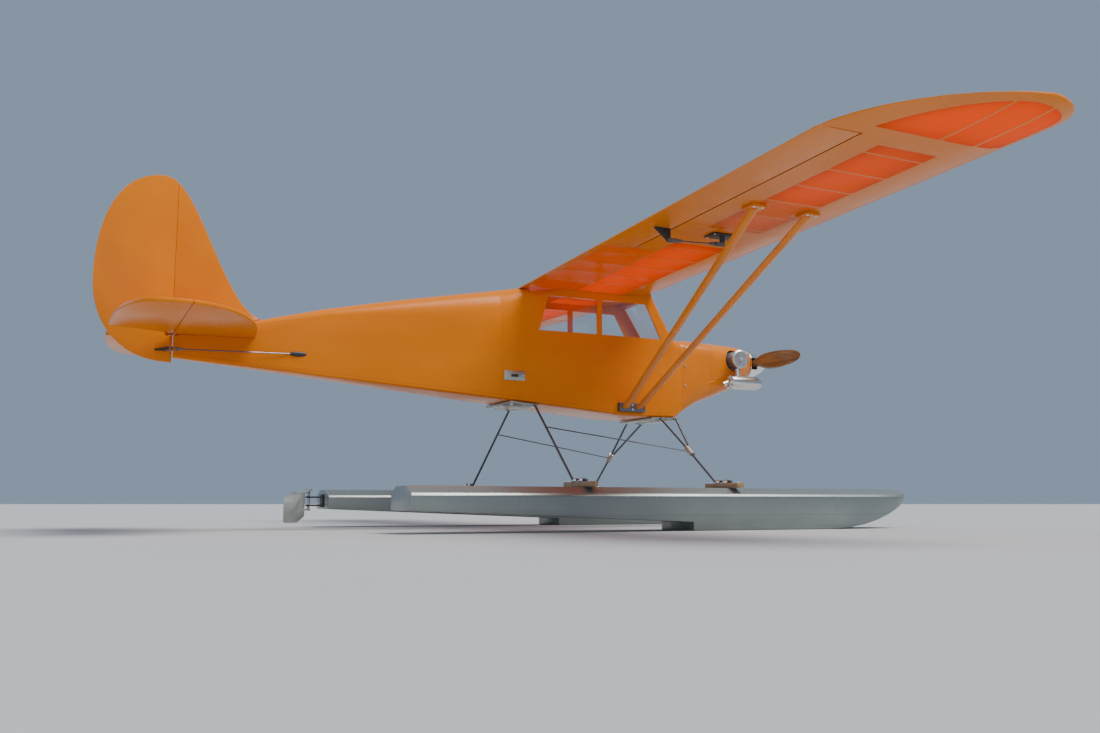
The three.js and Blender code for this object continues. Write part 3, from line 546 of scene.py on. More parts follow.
def wing_film():
    made = Finish("film over the wing", FILM, 0.26, **FILM_GLOSS)
    x, y, _ = made.axes()
    back, out = WING_FRONT - x, abs(y)
    bays = open_share(back, out)
    nearest = abs(back - WING_SEAM["back"]).least(abs(out - WING_SEAM["out"]))
    seam = 1 - nearest.past(WING_SEAM["half"], LINE_BLUR)
    cloud, tone, grain = over_sheet(made, "y")
    made.set("Base Color", made.mix((tone + seam * WING_SEAM["tone"]).least(1), FILM, FILM_DEEP))
    made.set("Roughness", made.spread(cloud, 0.18, 0.30))
    ripple = made.noise(38, detail=1, stretch=(0.5, 1, 1))
    made.relief(ripple * 0.7 + grain * 0.3 * (1 - bays) - seam * WING_SEAM["sink"], FILM_RELIEF)
    glow = made.make("BsdfTranslucent", values={"Color": GLOW})
    glossy = Signal(made, made.shader.outputs[0])
    mixed = made.make("MixShader", values={0: bays * GLOW_SHARE, 1: glossy, 2: glow})
    made.tree.links.new(mixed.socket, made.tree.nodes["Material Output"].inputs["Surface"])
    return made


FILM_WING = wing_film()
print("ribs every", round(RIB_PITCH / MM, 1), "mm in", len(OPEN_BAYS), "strips of bays a side")

# %% [markdown]
# ## Metals, woods, plastics
#
# Each metal shows how it was worked: the spinner is turned and polished, the engine is cast and
# blasted, the plates are rolled sheet and the legs are dark spring wire. Fine streaks along the
# work and a little uneven roughness say more than colour does.

# %% Metals
def metal(name, colour, roughness, stretch=(1, 1, 1), streak=320, depth=0.05, stain=None, patch=24):
    """A metal with streaks along the axes whose stretch is small, and stained patches."""
    made = Finish(name, colour, roughness, Metallic=1.0)
    streaks = made.noise(streak, detail=2, stretch=stretch)
    cloud = made.noise(patch, detail=3)
    stain = stain or [c * 0.72 for c in colour]
    made.set("Roughness", made.spread(streaks * 0.6 + cloud * 0.4, roughness * 0.7, roughness * 1.4))
    made.set("Base Color", made.mix(made.spread(cloud, 0, 0.5), colour, stain))
    made.relief(streaks, depth * MM)
    return made


POLISHED = metal("turned aluminium", (0.90, 0.90, 0.89), 0.12, (1, 0.03, 0.03), depth=0.01)
CAST = metal("cast engine alloy", (0.58, 0.59, 0.60), 0.40, streak=900, depth=0.12)
SILENCER = metal("silencer alloy", (0.80, 0.80, 0.79), 0.26, (0.04, 1, 1), stain=(0.50, 0.40, 0.28))
SHEET = metal("rolled sheet alloy", (0.42, 0.44, 0.40), 0.36, (0.04, 1, 1))
DRAWN = {"streak": 14, "depth": 0.004, "patch": 5, "stain": (0.12, 0.12, 0.13)}
WIRE = metal("spring wire", (0.15, 0.16, 0.18), 0.38, **DRAWN)
BRIGHT = metal("bright steel", (0.78, 0.78, 0.79), 0.27, streak=500)
BINDING = metal("soldered copper wire", (0.56, 0.42, 0.31), 0.35, stain=(0.60, 0.60, 0.60))
print("finishes with the metals:", len(bpy.data.materials))

# %% [markdown]
# ### Woods
#
# Three woods show: the varnished beech propeller, sealed hardwood bars on the floats, and bare ply
# inside the cabin. An image of wood would need unwrapping. Noise drawn out along one axis takes the
# grain from each point's own place, so it runs on through a carved shape.

# %% Woods
def wood(name, light, dark, stretch, roughness, coat=0.0):
    """Wood with its grain drawn out along one axis."""
    made = Finish(name, light, roughness, Coat_Weight=coat, Coat_Roughness=0.1)
    grain = made.noise(110, detail=4, stretch=stretch)
    fibre = made.noise(600, detail=2, stretch=stretch)
    made.set("Base Color", made.mix(made.spread(grain, 0, 1), light, dark))
    made.relief(grain * 0.5 + fibre * 0.5, 0.12 * MM)
    return made


ALONG_X, ALONG_Y = (0.06, 1, 1), (1, 0.06, 1)
BEECH = wood("varnished beech", (0.38, 0.18, 0.065), (0.15, 0.058, 0.018), ALONG_Y, 0.3, coat=0.7)
HARDWOOD = wood("sealed hardwood", (0.42, 0.26, 0.12), (0.26, 0.145, 0.06), ALONG_Y, 0.45, coat=0.2)
LITE_PLY = wood("bare cabin ply", (0.52, 0.37, 0.22), (0.38, 0.25, 0.13), ALONG_X, 0.6)
print("finishes with the woods:", len(bpy.data.materials))

# %% [markdown]
# ### Plastics and paint
#
# Horns and servos are black nylon with fine pores. The cowl is moulded in two parts and painted to
# match the film, and the struts are painted with a brush. All are one recipe with other numbers, so
# one function makes them. The cowl's joint is a thin dark line in its colour.

# %% Plastics and paint
JOINT_LINE = {"x": 133 * MM, "half": 0.4 * MM, "share": 0.55, "colour": (0.22, 0.05, 0.003)}


def plastic(name, colour, roughness, worn, depth=0.06, pore=420, joint=None, **constants):
    """Moulded plastic or paint with rubbed patches and fine pores. joint is the X of a joint line."""
    made = Finish(name, colour, roughness, **constants)
    cloud = made.noise(14, detail=4)
    pores = made.noise(pore, detail=2)
    paint = made.mix(made.spread(cloud, 0, 0.6), colour, worn)
    if joint:
        line = 1 - abs(made.axes()[0] - joint).past(JOINT_LINE["half"], LINE_BLUR)
        paint = made.mix(line * JOINT_LINE["share"], paint, JOINT_LINE["colour"])
    made.set("Base Color", paint)
    made.set("Roughness", made.spread(cloud, roughness * 0.75, roughness * 1.35))
    made.relief(pores * 0.4 + made.noise(14, detail=1) * 0.6, depth * MM)
    return made


GLOSS_PAINT = {"Coat_Weight": 0.12, "Coat_Roughness": 0.08, "Specular_IOR_Level": 0.25}
BRUSHED = {"depth": 0.02, "pore": 60, **GLOSS_PAINT}
NYLON = plastic("black nylon", (0.018, 0.018, 0.02), 0.42, (0.035, 0.035, 0.037))
PUSHROD_TIP = plastic("grey nylon clevis", (0.12, 0.12, 0.125), 0.45, (0.17, 0.17, 0.175))
COWL_JOINT = {"joint": WING_FRONT + JOINT_LINE["x"], "depth": 0.04, **GLOSS_PAINT}
COWL_PAINT = plastic("cowl paint", FILM, 0.2, (0.68, 0.165, 0.004), **COWL_JOINT)
STRUT_PAINT = plastic("strut paint", (0.81, 0.232, 0.008), 0.26, (0.66, 0.16, 0.005), **BRUSHED)
PRIMER = plastic("dark inside of the cowl", (0.045, 0.028, 0.016), 0.7, (0.07, 0.045, 0.025))
print("finishes with plastics and paint:", len(bpy.data.materials))

# %% [markdown]
# ### Silver floats and clear sheet
#
# The floats wear satin silver paint with a faint line left by the water. Low down they are darker:
# streaky scuffs where they meet a beach, and painted shade on their undersides. The line and the
# darker bottoms depend on height alone, so they agree on the two floats. The windows are thin clear
# sheet. Glass shading would bend the light at each face of so thin a sheet, so a mirror that shows at
# a slant stands in for it.

# %% Silver floats and clear sheet
SILVER = (0.28, 0.315, 0.305)
SILVER_DULL = (0.215, 0.245, 0.235)
# A dark greenish grey for the scuffs and the painted shade low on the floats.
SCUFFED_AND_SHADED = (0.14, 0.155, 0.148)
TIDE = {"z": 27 * MM, "width": 1.6 * MM, "wander": 6 * MM, "blur": 0.8 * MM, "share": 0.30}
SCUFFS_AND_SHADE = {"top": 16 * MM, "blur": 14 * MM, "share": 0.55, "dull": 0.3}
SHINE = {"faced": 0.07, "slant": 0.8, "power": 5}


def float_shell():
    """Silver floats: satin paint, scuffs with painted shade low down, and a faint water line."""
    made = Finish("silver float shell", SILVER, 0.32, Metallic=0.6, Coat_Weight=0.08)
    _, _, z = made.axes()
    cloud = made.noise(9, detail=4)
    fleck = made.noise(1500, detail=1)
    scuffs = made.noise(60, detail=5, stretch=(0.1, 1, 1))
    # Darker towards the bottom: beaching scuffs and painted shade on the undersides.
    low = 1 - z.past(SCUFFS_AND_SHADE["top"], SCUFFS_AND_SHADE["blur"])
    marks = made.spread(scuffs, 0, 1) * low * SCUFFS_AND_SHADE["share"]
    level = z + made.noise(20, detail=2) * TIDE["wander"]
    tide = level.between(TIDE["z"], TIDE["z"] + TIDE["width"], TIDE["blur"]) * TIDE["share"]
    clean = made.mix(made.spread(cloud * 0.8 + fleck * 0.2, 0, 0.8), SILVER, SILVER_DULL)
    made.set("Base Color", made.mix((marks + tide).least(1), clean, SCUFFED_AND_SHADED))
    made.set("Roughness", made.spread(cloud, 0.26, 0.38) + marks * SCUFFS_AND_SHADE["dull"])
    made.relief(made.noise(19, detail=1) * 0.8 + fleck * 0.2, 0.2 * MM)
    return made


def clear_sheet():
    """Thin clear sheet: a mirror that is faint when faced and stronger when seen at a slant."""
    made = Finish("clear cabin sheet", (0.86, 0.91, 0.94), 0.05, Metallic=1.0)
    slant = made.make("LayerWeight", values={"Blend": 0.5}, out=1)
    made.set("Alpha", slant ** SHINE["power"] * SHINE["slant"] + SHINE["faced"])
    made.set("Roughness", made.spread(made.noise(20, detail=2), 0.03, 0.10))
    return made


FLOAT = float_shell()
CLEAR = clear_sheet()
print("finishes:", len(bpy.data.materials))

# %% [markdown]
# ## Wing panels
#
# Film pulls tight between ribs and sinks a little in each open bay, which is what makes a covered
# wing look covered. A bump would lose that at the wing's edge against the light, so it is real
# shape: the panel is cut at each rib's two edges and three times between, and the points in a bay
# move inward by about a millimetre.

# %% Film that sinks between the ribs
SAG = 1.1 * MM
RIB_EDGE = 0.04
BAY_CUTS = (-RIB_EDGE, RIB_EDGE, 0.2, 0.5, 0.8)
BAY_COUNT = 14
FIRST_CUT = 2 * MM
CHORD_CUTS = (0.066, 0.070, 0.090, 0.115, 0.138, 0.160, 0.165, 0.190, 0.222, 0.250)


def sag_share(back, out):
    """How much of the full sag a point of the panel has."""
    for bay in OPEN_BAYS:
        if bay["near"] <= out <= bay["far"] and bay["front"] <= back <= bay["back"]:
            across = (back - bay["front"]) / (bay["back"] - bay["front"])
            along = (out / RIB_PITCH) % 1.0
            clear = max(0.0, (min(along, 1 - along) - RIB_EDGE) / (0.5 - RIB_EDGE))
            return (4 * across * (1 - across)) ** 0.6 * math.sin(clear * math.pi / 2)
    return 0.0


def covered_panel(name, side):
    bm = merged(f"wing_{name}", flatten=0.05)
    root = panel(side, 0, 0, 0)
    out = (panel(side, 0, 1, 0) - root).normalized()
    up = (panel(side, 0, 0, 1) - root).normalized()
    last = OPEN_BAYS[-1]["far"]
    places = [(bay + cut) * RIB_PITCH for bay in range(BAY_COUNT) for cut in BAY_CUTS]
    cuts = [(root + out * place, out) for place in places if FIRST_CUT < place < last]
    cuts += [(Vector((WING_FRONT - line, 0, 0)), FORWARD) for line in CHORD_CUTS]
    for where, normal in cuts:
        geometry = bm.verts[:] + bm.edges[:] + bm.faces[:]
        bmesh.ops.bisect_plane(bm, geom=geometry, plane_co=where, plane_no=normal, dist=WELD)
    bm.normal_update()
    moves = []
    for v in bm.verts:
        share = sag_share(WING_FRONT - v.co.x, (v.co - root).dot(out))
        facing = v.normal.dot(up)
        if share > 0 and abs(facing) > 0.5:
            moves.append((v, -up * math.copysign(SAG * share, facing)))
    for v, move in moves:
        v.co += move
    copied(f"wing_{name}", "covered", FILM_WING, bm=bm, sharp=30)


for name, side in SIDES.items():
    covered_panel(name, side)

# %% [markdown]
# ## Sheeted surfaces
#
# Ailerons, fuselage and tail are sheeted with wood under the film, so their shape is the frame's
# own shape. The cabin and the cowl are shells, and their insides are bare ply and dark primer: the
# faces that look back at the body's middle line get the second finish.

# %% Fuselage, tail and ailerons
BODY_MIDDLE = {"fuselage_cabin": 320, "fuselage_rear": 310, "cowl": 310}
SHEETED = {
    "stabilizer": ROOT, "fin": ROOT,
    "elevator_left": "elevator_unit", "aileron_left": "aileron_left_unit",
    "elevator_right": "elevator_unit", "aileron_right": "aileron_right_unit",
    "rudder": "rudder_unit",
}
WINDOWS = [f"window_{end}_{name}" for end in ("front", "rear") for name in SIDES]


def lined(node):
    """A copy whose faces that look towards the body's middle line get the second finish."""
    bm = merged(node)
    for face in bm.faces:
        centre = face.calc_center_median()
        outward = centre - Vector((centre.x, 0, BODY_MIDDLE[node] * MM))
        face.material_index = int(face.normal.dot(outward) < 0)
    return bm


for node in ("fuselage_cabin", "fuselage_rear"):
    copied(node, "covered", [FILM_BODY, LITE_PLY], bm=lined(node))
copied("cowl", "painted", [COWL_PAINT, PRIMER], bm=lined("cowl"))
for node, body in SHEETED.items():
    copied(node, "covered", FILM_TAIL, body)
for node in ("windscreen", *WINDOWS):
    copied(node, "clear", CLEAR)

# %% [markdown]
# ### Where the wing sits
#
# The wing's flat underside lies on the cabin, but ahead of its spar it curves up to the leading
# edge. A builder closes that wedge with strips of balsa, sanded to the wing and covered with the
# cabin. Three boxes are subdivided and their points lifted until rays meet the wing's underside.

# %% Wing seat
SEAT = {
    "front": 1.1, "lean": 5.6, "bar": 9, "last": -62, "out": 59, "wall": 3, "z": 419.3,
    "gap": 0.1, "cuts": 13, "middle": 2 * MM,
}
SEAT_LEAST = 0.3 * MM
CABIN_EDGE = 412 * MM


def seat_bottom(x, y):
    """The cabin's top edge under a point, or the line between its edges where the cabin is open."""
    place = surface("fuselage_cabin", (x, y, WING_SEAT), -UP)[0]
    if place and place.z > CABIN_EDGE:
        return place.z - SUNK * MM
    return SEAT["z"] * MM + abs(y) * math.tan(DIHEDRAL)


def wing_seat():
    """Boxes 1 mm high at first, so that lift is 0 for a point of the bottom and 1 at the top."""
    bm = bmesh.new()
    high = SEAT["z"] + 1
    back = SEAT["front"] - SEAT["bar"]
    block(bm, spot(back, -SEAT["out"], SEAT["z"]), spot(SEAT["front"], SEAT["out"], high))
    for side in SIDES.values():
        near, far = sorted((side * (SEAT["out"] - SEAT["wall"]), side * SEAT["out"]))
        block(bm, spot(SEAT["last"], near, SEAT["z"]), spot(back, far, high))
    bmesh.ops.subdivide_edges(bm, edges=bm.edges[:], cuts=SEAT["cuts"], use_grid_fill=True)
    for v in bm.verts:
        lift = v.co.z / MM - SEAT["z"]
        ahead = max(0.0, 1 - (SEAT["front"] - (v.co.x - WING_FRONT) / MM) / SEAT["bar"])
        lean = SEAT["lean"] * ahead * MM
        name, side = ("left", 1) if v.co.y >= 0 else ("right", -1)
        under = (v.co.x - lean, side * max(abs(v.co.y), SEAT["middle"]), WING_SEAT)
        top = surface(f"wing_{name}", under, UP)[0].z - SEAT["gap"] * MM
        bottom = seat_bottom(v.co.x, v.co.y)
        v.co.x -= lean * lift
        v.co.z = bottom + max(SEAT_LEAST, top - bottom) * lift
    finished("wing_seat", bm, FILM_BODY, sharp=40)


wing_seat()

# %% [markdown]
# ## Floats
#
# The floats are moulded in two halves, a hull and a deck, joined along the top of the sides. The
# corners are rounded as a mould rounds them. The seam is a fine bead that follows the float's plan
# shape round the bow, and that shape is a formula, so the bead comes from a loop.

# %% Float shells and their seams
FLOAT_Y = 241
DECK_Z = 68
PLAN = {"half": 48.5, "stern": -535, "straight": 280, "tip": 401, "last": 399.0, "power": 3}
SEAM = {"below": 4, "bow_drop": 4, "edge_drop": 10, "radius": 0.9, "proud": 0.35, "steps": 14}
HULL_EDGES = {"width": 1.6, "least": 25, "segments": 3}


def plan_half(x):
    """Half the float's width at a distance from the leading edge, in mm."""
    share = max(0.0, (x - PLAN["straight"]) / (PLAN["tip"] - PLAN["straight"]))
    return PLAN["half"] * (1 - min(1.0, share) ** PLAN["power"]) ** (1 / PLAN["power"])


def seam_route(y):
    """The seam's route from the stern, round the bow and back."""
    reach = PLAN["last"] - PLAN["straight"]
    turns = [math.sin(i / SEAM["steps"] * math.pi / 2) for i in range(SEAM["steps"] + 1)]
    port = []
    for x in [PLAN["stern"], *(PLAN["straight"] + reach * turn for turn in turns)]:
        half = plan_half(x)
        narrow = half / PLAN["half"]
        drop = SEAM["bow_drop"] * (1 - narrow) + SEAM["edge_drop"] * narrow + SEAM["below"]
        port.append((x, half - SEAM["proud"], DECK_Z - drop))
    there = [spot(x, y + half, z) for x, half, z in port]
    return there + [spot(x, y - half, z) for x, half, z in reversed(port)]


for name, side in SIDES.items():
    hull = rounded(merged(f"float_{name}", flatten=1.0), **HULL_EDGES)
    copied(f"float_{name}", "shell", FLOAT, bm=hull, sharp=50)
    bead = tube(bmesh.new(), seam_route(side * FLOAT_Y), SEAM["radius"], 8)
    finished(f"float_{name}_seam", bead, FLOAT)

# %% [markdown]
# ## Nose
#
# The spinner is turned from bar and polished, then slotted for the blades. The lathe gives its
# curve, and a box cuts the slot by a Boolean, as a mill does. The back plate behind it is turned
# too, with a rim that takes the spinner's edge.

# %% Spinner
SPINNER_LOW, SPINNER_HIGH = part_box("spinner")
PLATE_LOW, PLATE_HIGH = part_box("spinner_plate")
SPINNER = {"radius": 28, "power": 1.6, "fullness": 0.85, "steps": 28, "sides": 64}
SLOT = {"behind": 10, "depth": 15.2, "wide": 100, "half": 11.5}
PLATE_RIM = ((0, 0), (26.8, 0), (28, 0.8), (28, 1.9), (27.4, 2.7), (0, 2.7))


def on_shaft(x):
    """The point of the propeller shaft at an X in metres."""
    return Vector((x, 0, SHAFT_Z))


def nose_profile():
    """The spinner's outline, full behind and pointed ahead, in mm."""
    length = (SPINNER_HIGH.x - SPINNER_LOW.x) / MM
    rows = [(0, 0)]
    for i in range(SPINNER["steps"]):
        share = i / SPINNER["steps"]
        radius = SPINNER["radius"] * (1 - share ** SPINNER["power"]) ** SPINNER["fullness"]
        rows.append((radius, share * length))
    return rows + [(0, length)]


def cut_away(whole, cutter):
    """The first shape without what lies in the second, by a Boolean that is applied."""
    carriers = []
    for shape in (whole, cutter):
        bmesh.ops.recalc_face_normals(shape, faces=shape.faces)
        mesh = bpy.data.meshes.new("shape")
        shape.to_mesh(mesh)
        shape.free()
        carriers.append(linked("shape", mesh))
    difference = carriers[0].modifiers.new("cut", "BOOLEAN")
    difference.object = carriers[1]
    difference.operation = "DIFFERENCE"
    difference.solver = "EXACT"
    made = applied(carriers[0])
    bm = bmesh.new()
    bm.from_mesh(made)
    meshes = [made, *(carrier.data for carrier in carriers)]
    for carrier in carriers:
        bpy.data.objects.remove(carrier)
    for mesh in meshes:
        bpy.data.meshes.remove(mesh)
    return bm


spinner_foot = on_shaft(SPINNER_LOW.x)
cone = turned(bmesh.new(), nose_profile(), spinner_foot, FORWARD, steps=SPINNER["sides"])
slot_low = spinner_foot - Vector((SLOT["behind"], SLOT["wide"], SLOT["half"])) * MM
slot_high = spinner_foot + Vector((SLOT["depth"], SLOT["wide"], SLOT["half"])) * MM
slotted = cut_away(cone, block(bmesh.new(), slot_low, slot_high))
finished("spinner_turned", slotted, POLISHED, "propeller_unit", ["spinner"])
back_plate = turned(bmesh.new(), PLATE_RIM, on_shaft(PLATE_LOW.x), FORWARD, steps=SPINNER["sides"])
finished("spinner_back_plate", back_plate, POLISHED, "propeller_unit", ["spinner_plate"])

# %% [markdown]
# ### Propeller
#
# The propeller is carved from beech and varnished. Its blades twist, because a tip goes further in
# each turn than a root. The frame has them in a few stations, so a smooth curve through those gives
# the stations between, and the rings are bridged into a blade.

# %% Propeller
# Each row is a radius from the shaft, the chord there and the thickness, in mm.
BLADE_ROWS = (
    (4, 11, 9), (28, 14, 8), (60, 30, 5.5), (100, 32, 4), (140, 25, 3), (158, 16, 2.4), (165, 7, 1.6),
)
BLADE = {"pitch": 152, "twist_from": 28, "steps": 30, "sides": 20, "flat": 0.45}
HUB = ((0, 0), (11, 0), (12, 1), (12, 11), (11, 12), (0, 12))
HUB_HALF = 6
HUB_AHEAD = 6.3


def eased(rows, place):
    """A table's other columns at a place in its first, on a curve through its rows with no kink."""
    k = max(i for i in range(len(rows) - 1) if rows[i][0] <= place)
    start, end = rows[k], rows[k + 1]
    before, after = rows[max(k - 1, 0)], rows[min(k + 2, len(rows) - 1)]
    span = end[0] - start[0]
    t = (place - start[0]) / span
    values = []
    for a, b, c, d in zip(before[1:], start[1:], end[1:], after[1:]):
        leave = (c - a) / (end[0] - before[0]) * span
        arrive = (d - b) / (after[0] - start[0]) * span
        rise = b + (c - b) * t * t * (3 - 2 * t)
        values.append(rise + leave * t * (1 - t) ** 2 - arrive * t * t * (1 - t))
    return values


def carved_blade(bm, middle, side):
    """Adds one blade: a ring for each station, flatter behind, and the rings bridged."""
    rings = []
    root, tip = BLADE_ROWS[0][0], BLADE_ROWS[-1][0]
    for i in range(BLADE["steps"] + 1):
        radius = root + (tip - root) * i / BLADE["steps"]
        chord, thickness = eased(BLADE_ROWS, radius)
        pitch = math.atan(BLADE["pitch"] / (2 * math.pi * max(radius, BLADE["twist_from"])))
        along = Vector((math.sin(pitch), 0, side * math.cos(pitch))) * chord / 2
        across = Vector((math.cos(pitch), 0, -side * math.sin(pitch))) * thickness / 2
        ring = bmesh.ops.create_circle(bm, radius=1, segments=BLADE["sides"])["verts"]
        for v in ring:
            share = v.co.y if v.co.y > 0 else v.co.y * BLADE["flat"]
            v.co = middle + (along * v.co.x + across * share + LEFT * side * radius) * MM
        rings.append(list({e for v in ring for e in v.link_edges}))
    for first, second in zip(rings, rings[1:]):
        bmesh.ops.bridge_loops(bm, edges=first + second)
    bmesh.ops.holes_fill(bm, edges=rings[0] + rings[-1], sides=BLADE["sides"])


hub_middle = on_shaft(PLATE_HIGH.x + HUB_AHEAD * MM)
carved = turned(bmesh.new(), HUB, hub_middle - FORWARD * HUB_HALF * MM, FORWARD, steps=32)
for side in SIDES.values():
    carved_blade(carved, hub_middle, side)
finished("propeller_carved", carved, BEECH, "propeller_unit", ["propeller"], sharp=50)

# %% [markdown]
# ### Engine
#
# The engine lies on its side, so its cylinder head, its plug and its silencer stand out of the
# cowl's right cheek as the one bright place on the aeroplane. The fins are lathe work, one outline
# for all nine. The case, its mount and the silencer keep the frame's shape.

# %% Cylinder, case and silencer
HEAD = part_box("engine_cylinder")
CYLINDER_ROOT = Vector(((HEAD[0].x + HEAD[1].x) / 2, HEAD[1].y, SHAFT_Z))
CYLINDER_LENGTH = (HEAD[1].y - HEAD[0].y) / MM
FINS = {"count": 9, "first": 2.5, "pitch": 3.9, "thick": 1.4, "edge": 0.15, "core": 13.5, "rim": 17}
# The head's steps, each a radius and a depth below the top.
CAP = ((FINS["core"], 7.5), (18.2, 7.3), (18.2, 3), (15.5, 1), (6, 2.4), (0, 2.4))
HEAD_SCREWS = {"angles": (45, 135, 225, 315), "ring": 12, "depth": 1.9}
PLUG = ((0, -4), (4.4, -4), (4.4, 1), (3.8, 1.8), (2.4, 2), (2.4, 4.5), (1, 5), (0, 5))
PLUG_DEPTH = 2.4


def under_top(depth):
    """The point of the cylinder's middle line at a depth below its top, in mm."""
    return CYLINDER_ROOT - LEFT * (CYLINDER_LENGTH - depth) * MM


def cylinder_profile():
    core, rim, edge = FINS["core"], FINS["rim"], FINS["edge"]
    rows = [(0, 0), (core, 0)]
    for i in range(FINS["count"]):
        start = FINS["first"] + FINS["pitch"] * i
        end = start + FINS["thick"]
        rows += [(core, start), (rim, start + edge), (rim, end - edge), (core, end)]
    return rows + [(radius, CYLINDER_LENGTH - depth) for radius, depth in CAP]


cylinder = turned(bmesh.new(), cylinder_profile(), CYLINDER_ROOT, -LEFT, steps=40)
for angle in map(math.radians, HEAD_SCREWS["angles"]):
    reach = Vector((math.cos(angle), 0, math.sin(angle))) * HEAD_SCREWS["ring"] * MM
    screw(cylinder, under_top(HEAD_SCREWS["depth"]) + reach, -LEFT, SCREW_R["cylinder"])
finished("cylinder_finned", cylinder, CAST, replaces=["engine_cylinder"])
plug = turned(bmesh.new(), PLUG, under_top(PLUG_DEPTH), -LEFT, steps=6)
finished("engine_plug", plug, BRIGHT, sharp=20)
copied("engine_case", "block", CAST, ease=1.5)
copied("engine_mount", "bearer", CAST, ease=1.0)
copied("silencer", "can", SILENCER)

# %% [markdown]
# ### Needle valve and cowl screws
#
# The needle valve sets the engine's mixture, so its knob stands clear of the left cheek where
# fingers reach it. A wire and a turned knob are enough at this size: the knob's few flat sides
# catch the light as knurling does. Three screws a side hold the cowl.

# %% Needle valve and cowl screws
NEEDLE = {"x": 140, "from": 20, "to": 60, "knob": 59, "radius": 0.8}
KNOB = ((0, 0), (2.6, 0), (3.4, 0.8), (3.4, 6.2), (2.6, 7), (0, 7))
COWL_SCREWS = {"x": 73, "y": 60, "z": (262, 300, 335)}
near, far, seat = (spot(NEEDLE["x"], NEEDLE[key], SHAFT_Z / MM) for key in ("from", "to", "knob"))
needle = tube(bmesh.new(), [near, far], NEEDLE["radius"], 8)
turned(needle, KNOB, seat, LEFT, steps=14)
finished("needle_valve", needle, BRIGHT, sharp=20)
cowl_screws = bmesh.new()
for side in SIDES.values():
    places = [spot(COWL_SCREWS["x"], side * COWL_SCREWS["y"], z) for z in COWL_SCREWS["z"]]
    screws(cowl_screws, "cowl", places, -LEFT * side, SCREW_R["cowl"])
finished("cowl_screws", cowl_screws, BRIGHT)

# %% [markdown]
# ## Struts, legs and fittings
#
# The struts are painted streamline tube, so they keep the frame's shape. Two screws hold each one
# under the wing, and two bolts hold a side's plate on the fuselage. Their places are typed only
# roughly, since each head finds its own face.

# %% Lift struts and their fittings
CLIP = {"out": 584, "backs": {"front": 66, "rear": 156}, "step": 7, "drop": 4}
BOLT = {"x": -50, "y": 66, "z": (211, 219)}


def both(step):
    """A step to either side."""
    return (-step, step)


for name, side in SIDES.items():
    hardware = bmesh.new()
    for end, back in CLIP["backs"].items():
        node = f"strut_{end}_{name}"
        copied(node, "painted", STRUT_PAINT, sharp=40)
        clips = [panel(side, back + step, CLIP["out"], -CLIP["drop"]) for step in both(CLIP["step"])]
        screws(hardware, node, clips, UP, SCREW_R["clip"])
    node = f"strut_fitting_{name}"
    copied(node, "plate", WIRE, ease=0.8)
    bolts = [spot(BOLT["x"], side * BOLT["y"], z) for z in BOLT["z"]]
    screws(hardware, node, bolts, -LEFT * side, SCREW_R["bolt"])
    finished(f"strut_screws_{name}", hardware, BRIGHT)

# %% [markdown]
# ### Float legs
#
# The legs are spring wire bent cold, so each corner is a round bend. Where the two front wires meet
# they are bound with copper wire and soldered. The wires are tubes along bent routes. The binding
# is a tube along a helix, because stripes of colour would look flat at its edge.

# %% Wire legs with round bends
WIRE_R = 2.0
WIRE_SIDES = 16
FOOT_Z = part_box("front_leg_left")[0].z / MM + WIRE_R
KNEE_Y, FOOT_END = 216, 262
FRONT_LEG = {"x": 12, "y": 61.6, "z": 197.5, "foot_x": 22, "bend": 6}
REAR_LEG = {"x": -240, "y": 57.6, "z": 211, "foot_x": -247, "bend": 6}
JOINT = {"x": 19, "y": 144}
SECOND_WIRE = {"x": 45, "joint_x": 21.5, "rise": 1.2, "past": 9, "end_x": 23, "bend": 12}
SLEEVE = ((0, -11), (3.4, -10.6), (4.2, -9), (4.2, 9), (3.4, 10.6), (0, 11))
WRAP = {"radius": 4.3, "length": 21, "turns": 17, "wire": 0.62}


def leg_height(y):
    """The height of the front leg's wire at a y, in mm."""
    share = (y - FRONT_LEG["y"]) / (KNEE_Y - FRONT_LEG["y"])
    return FRONT_LEG["z"] + (FOOT_Z - FRONT_LEG["z"]) * share


def helix(centre, along, radius, length, turns, steps=14):
    """A binding's route round a line, in mm."""
    side = along.orthogonal().normalized()
    other = along.cross(side)
    route = []
    for i in range(turns * steps + 1):
        angle = 2 * math.pi * i / steps
        place = along * (i / (turns * steps) - 0.5) * length
        turning = side * math.cos(angle) + other * math.sin(angle)
        route.append(centre + (place + turning * radius) * MM)
    return route


def leg_corners(leg, side):
    """The top, the knee and the end of the foot of a leg's wire."""
    top = spot(leg["x"], side * leg["y"], leg["z"])
    return top, *(spot(leg["foot_x"], side * y, FOOT_Z) for y in (KNEE_Y, FOOT_END))


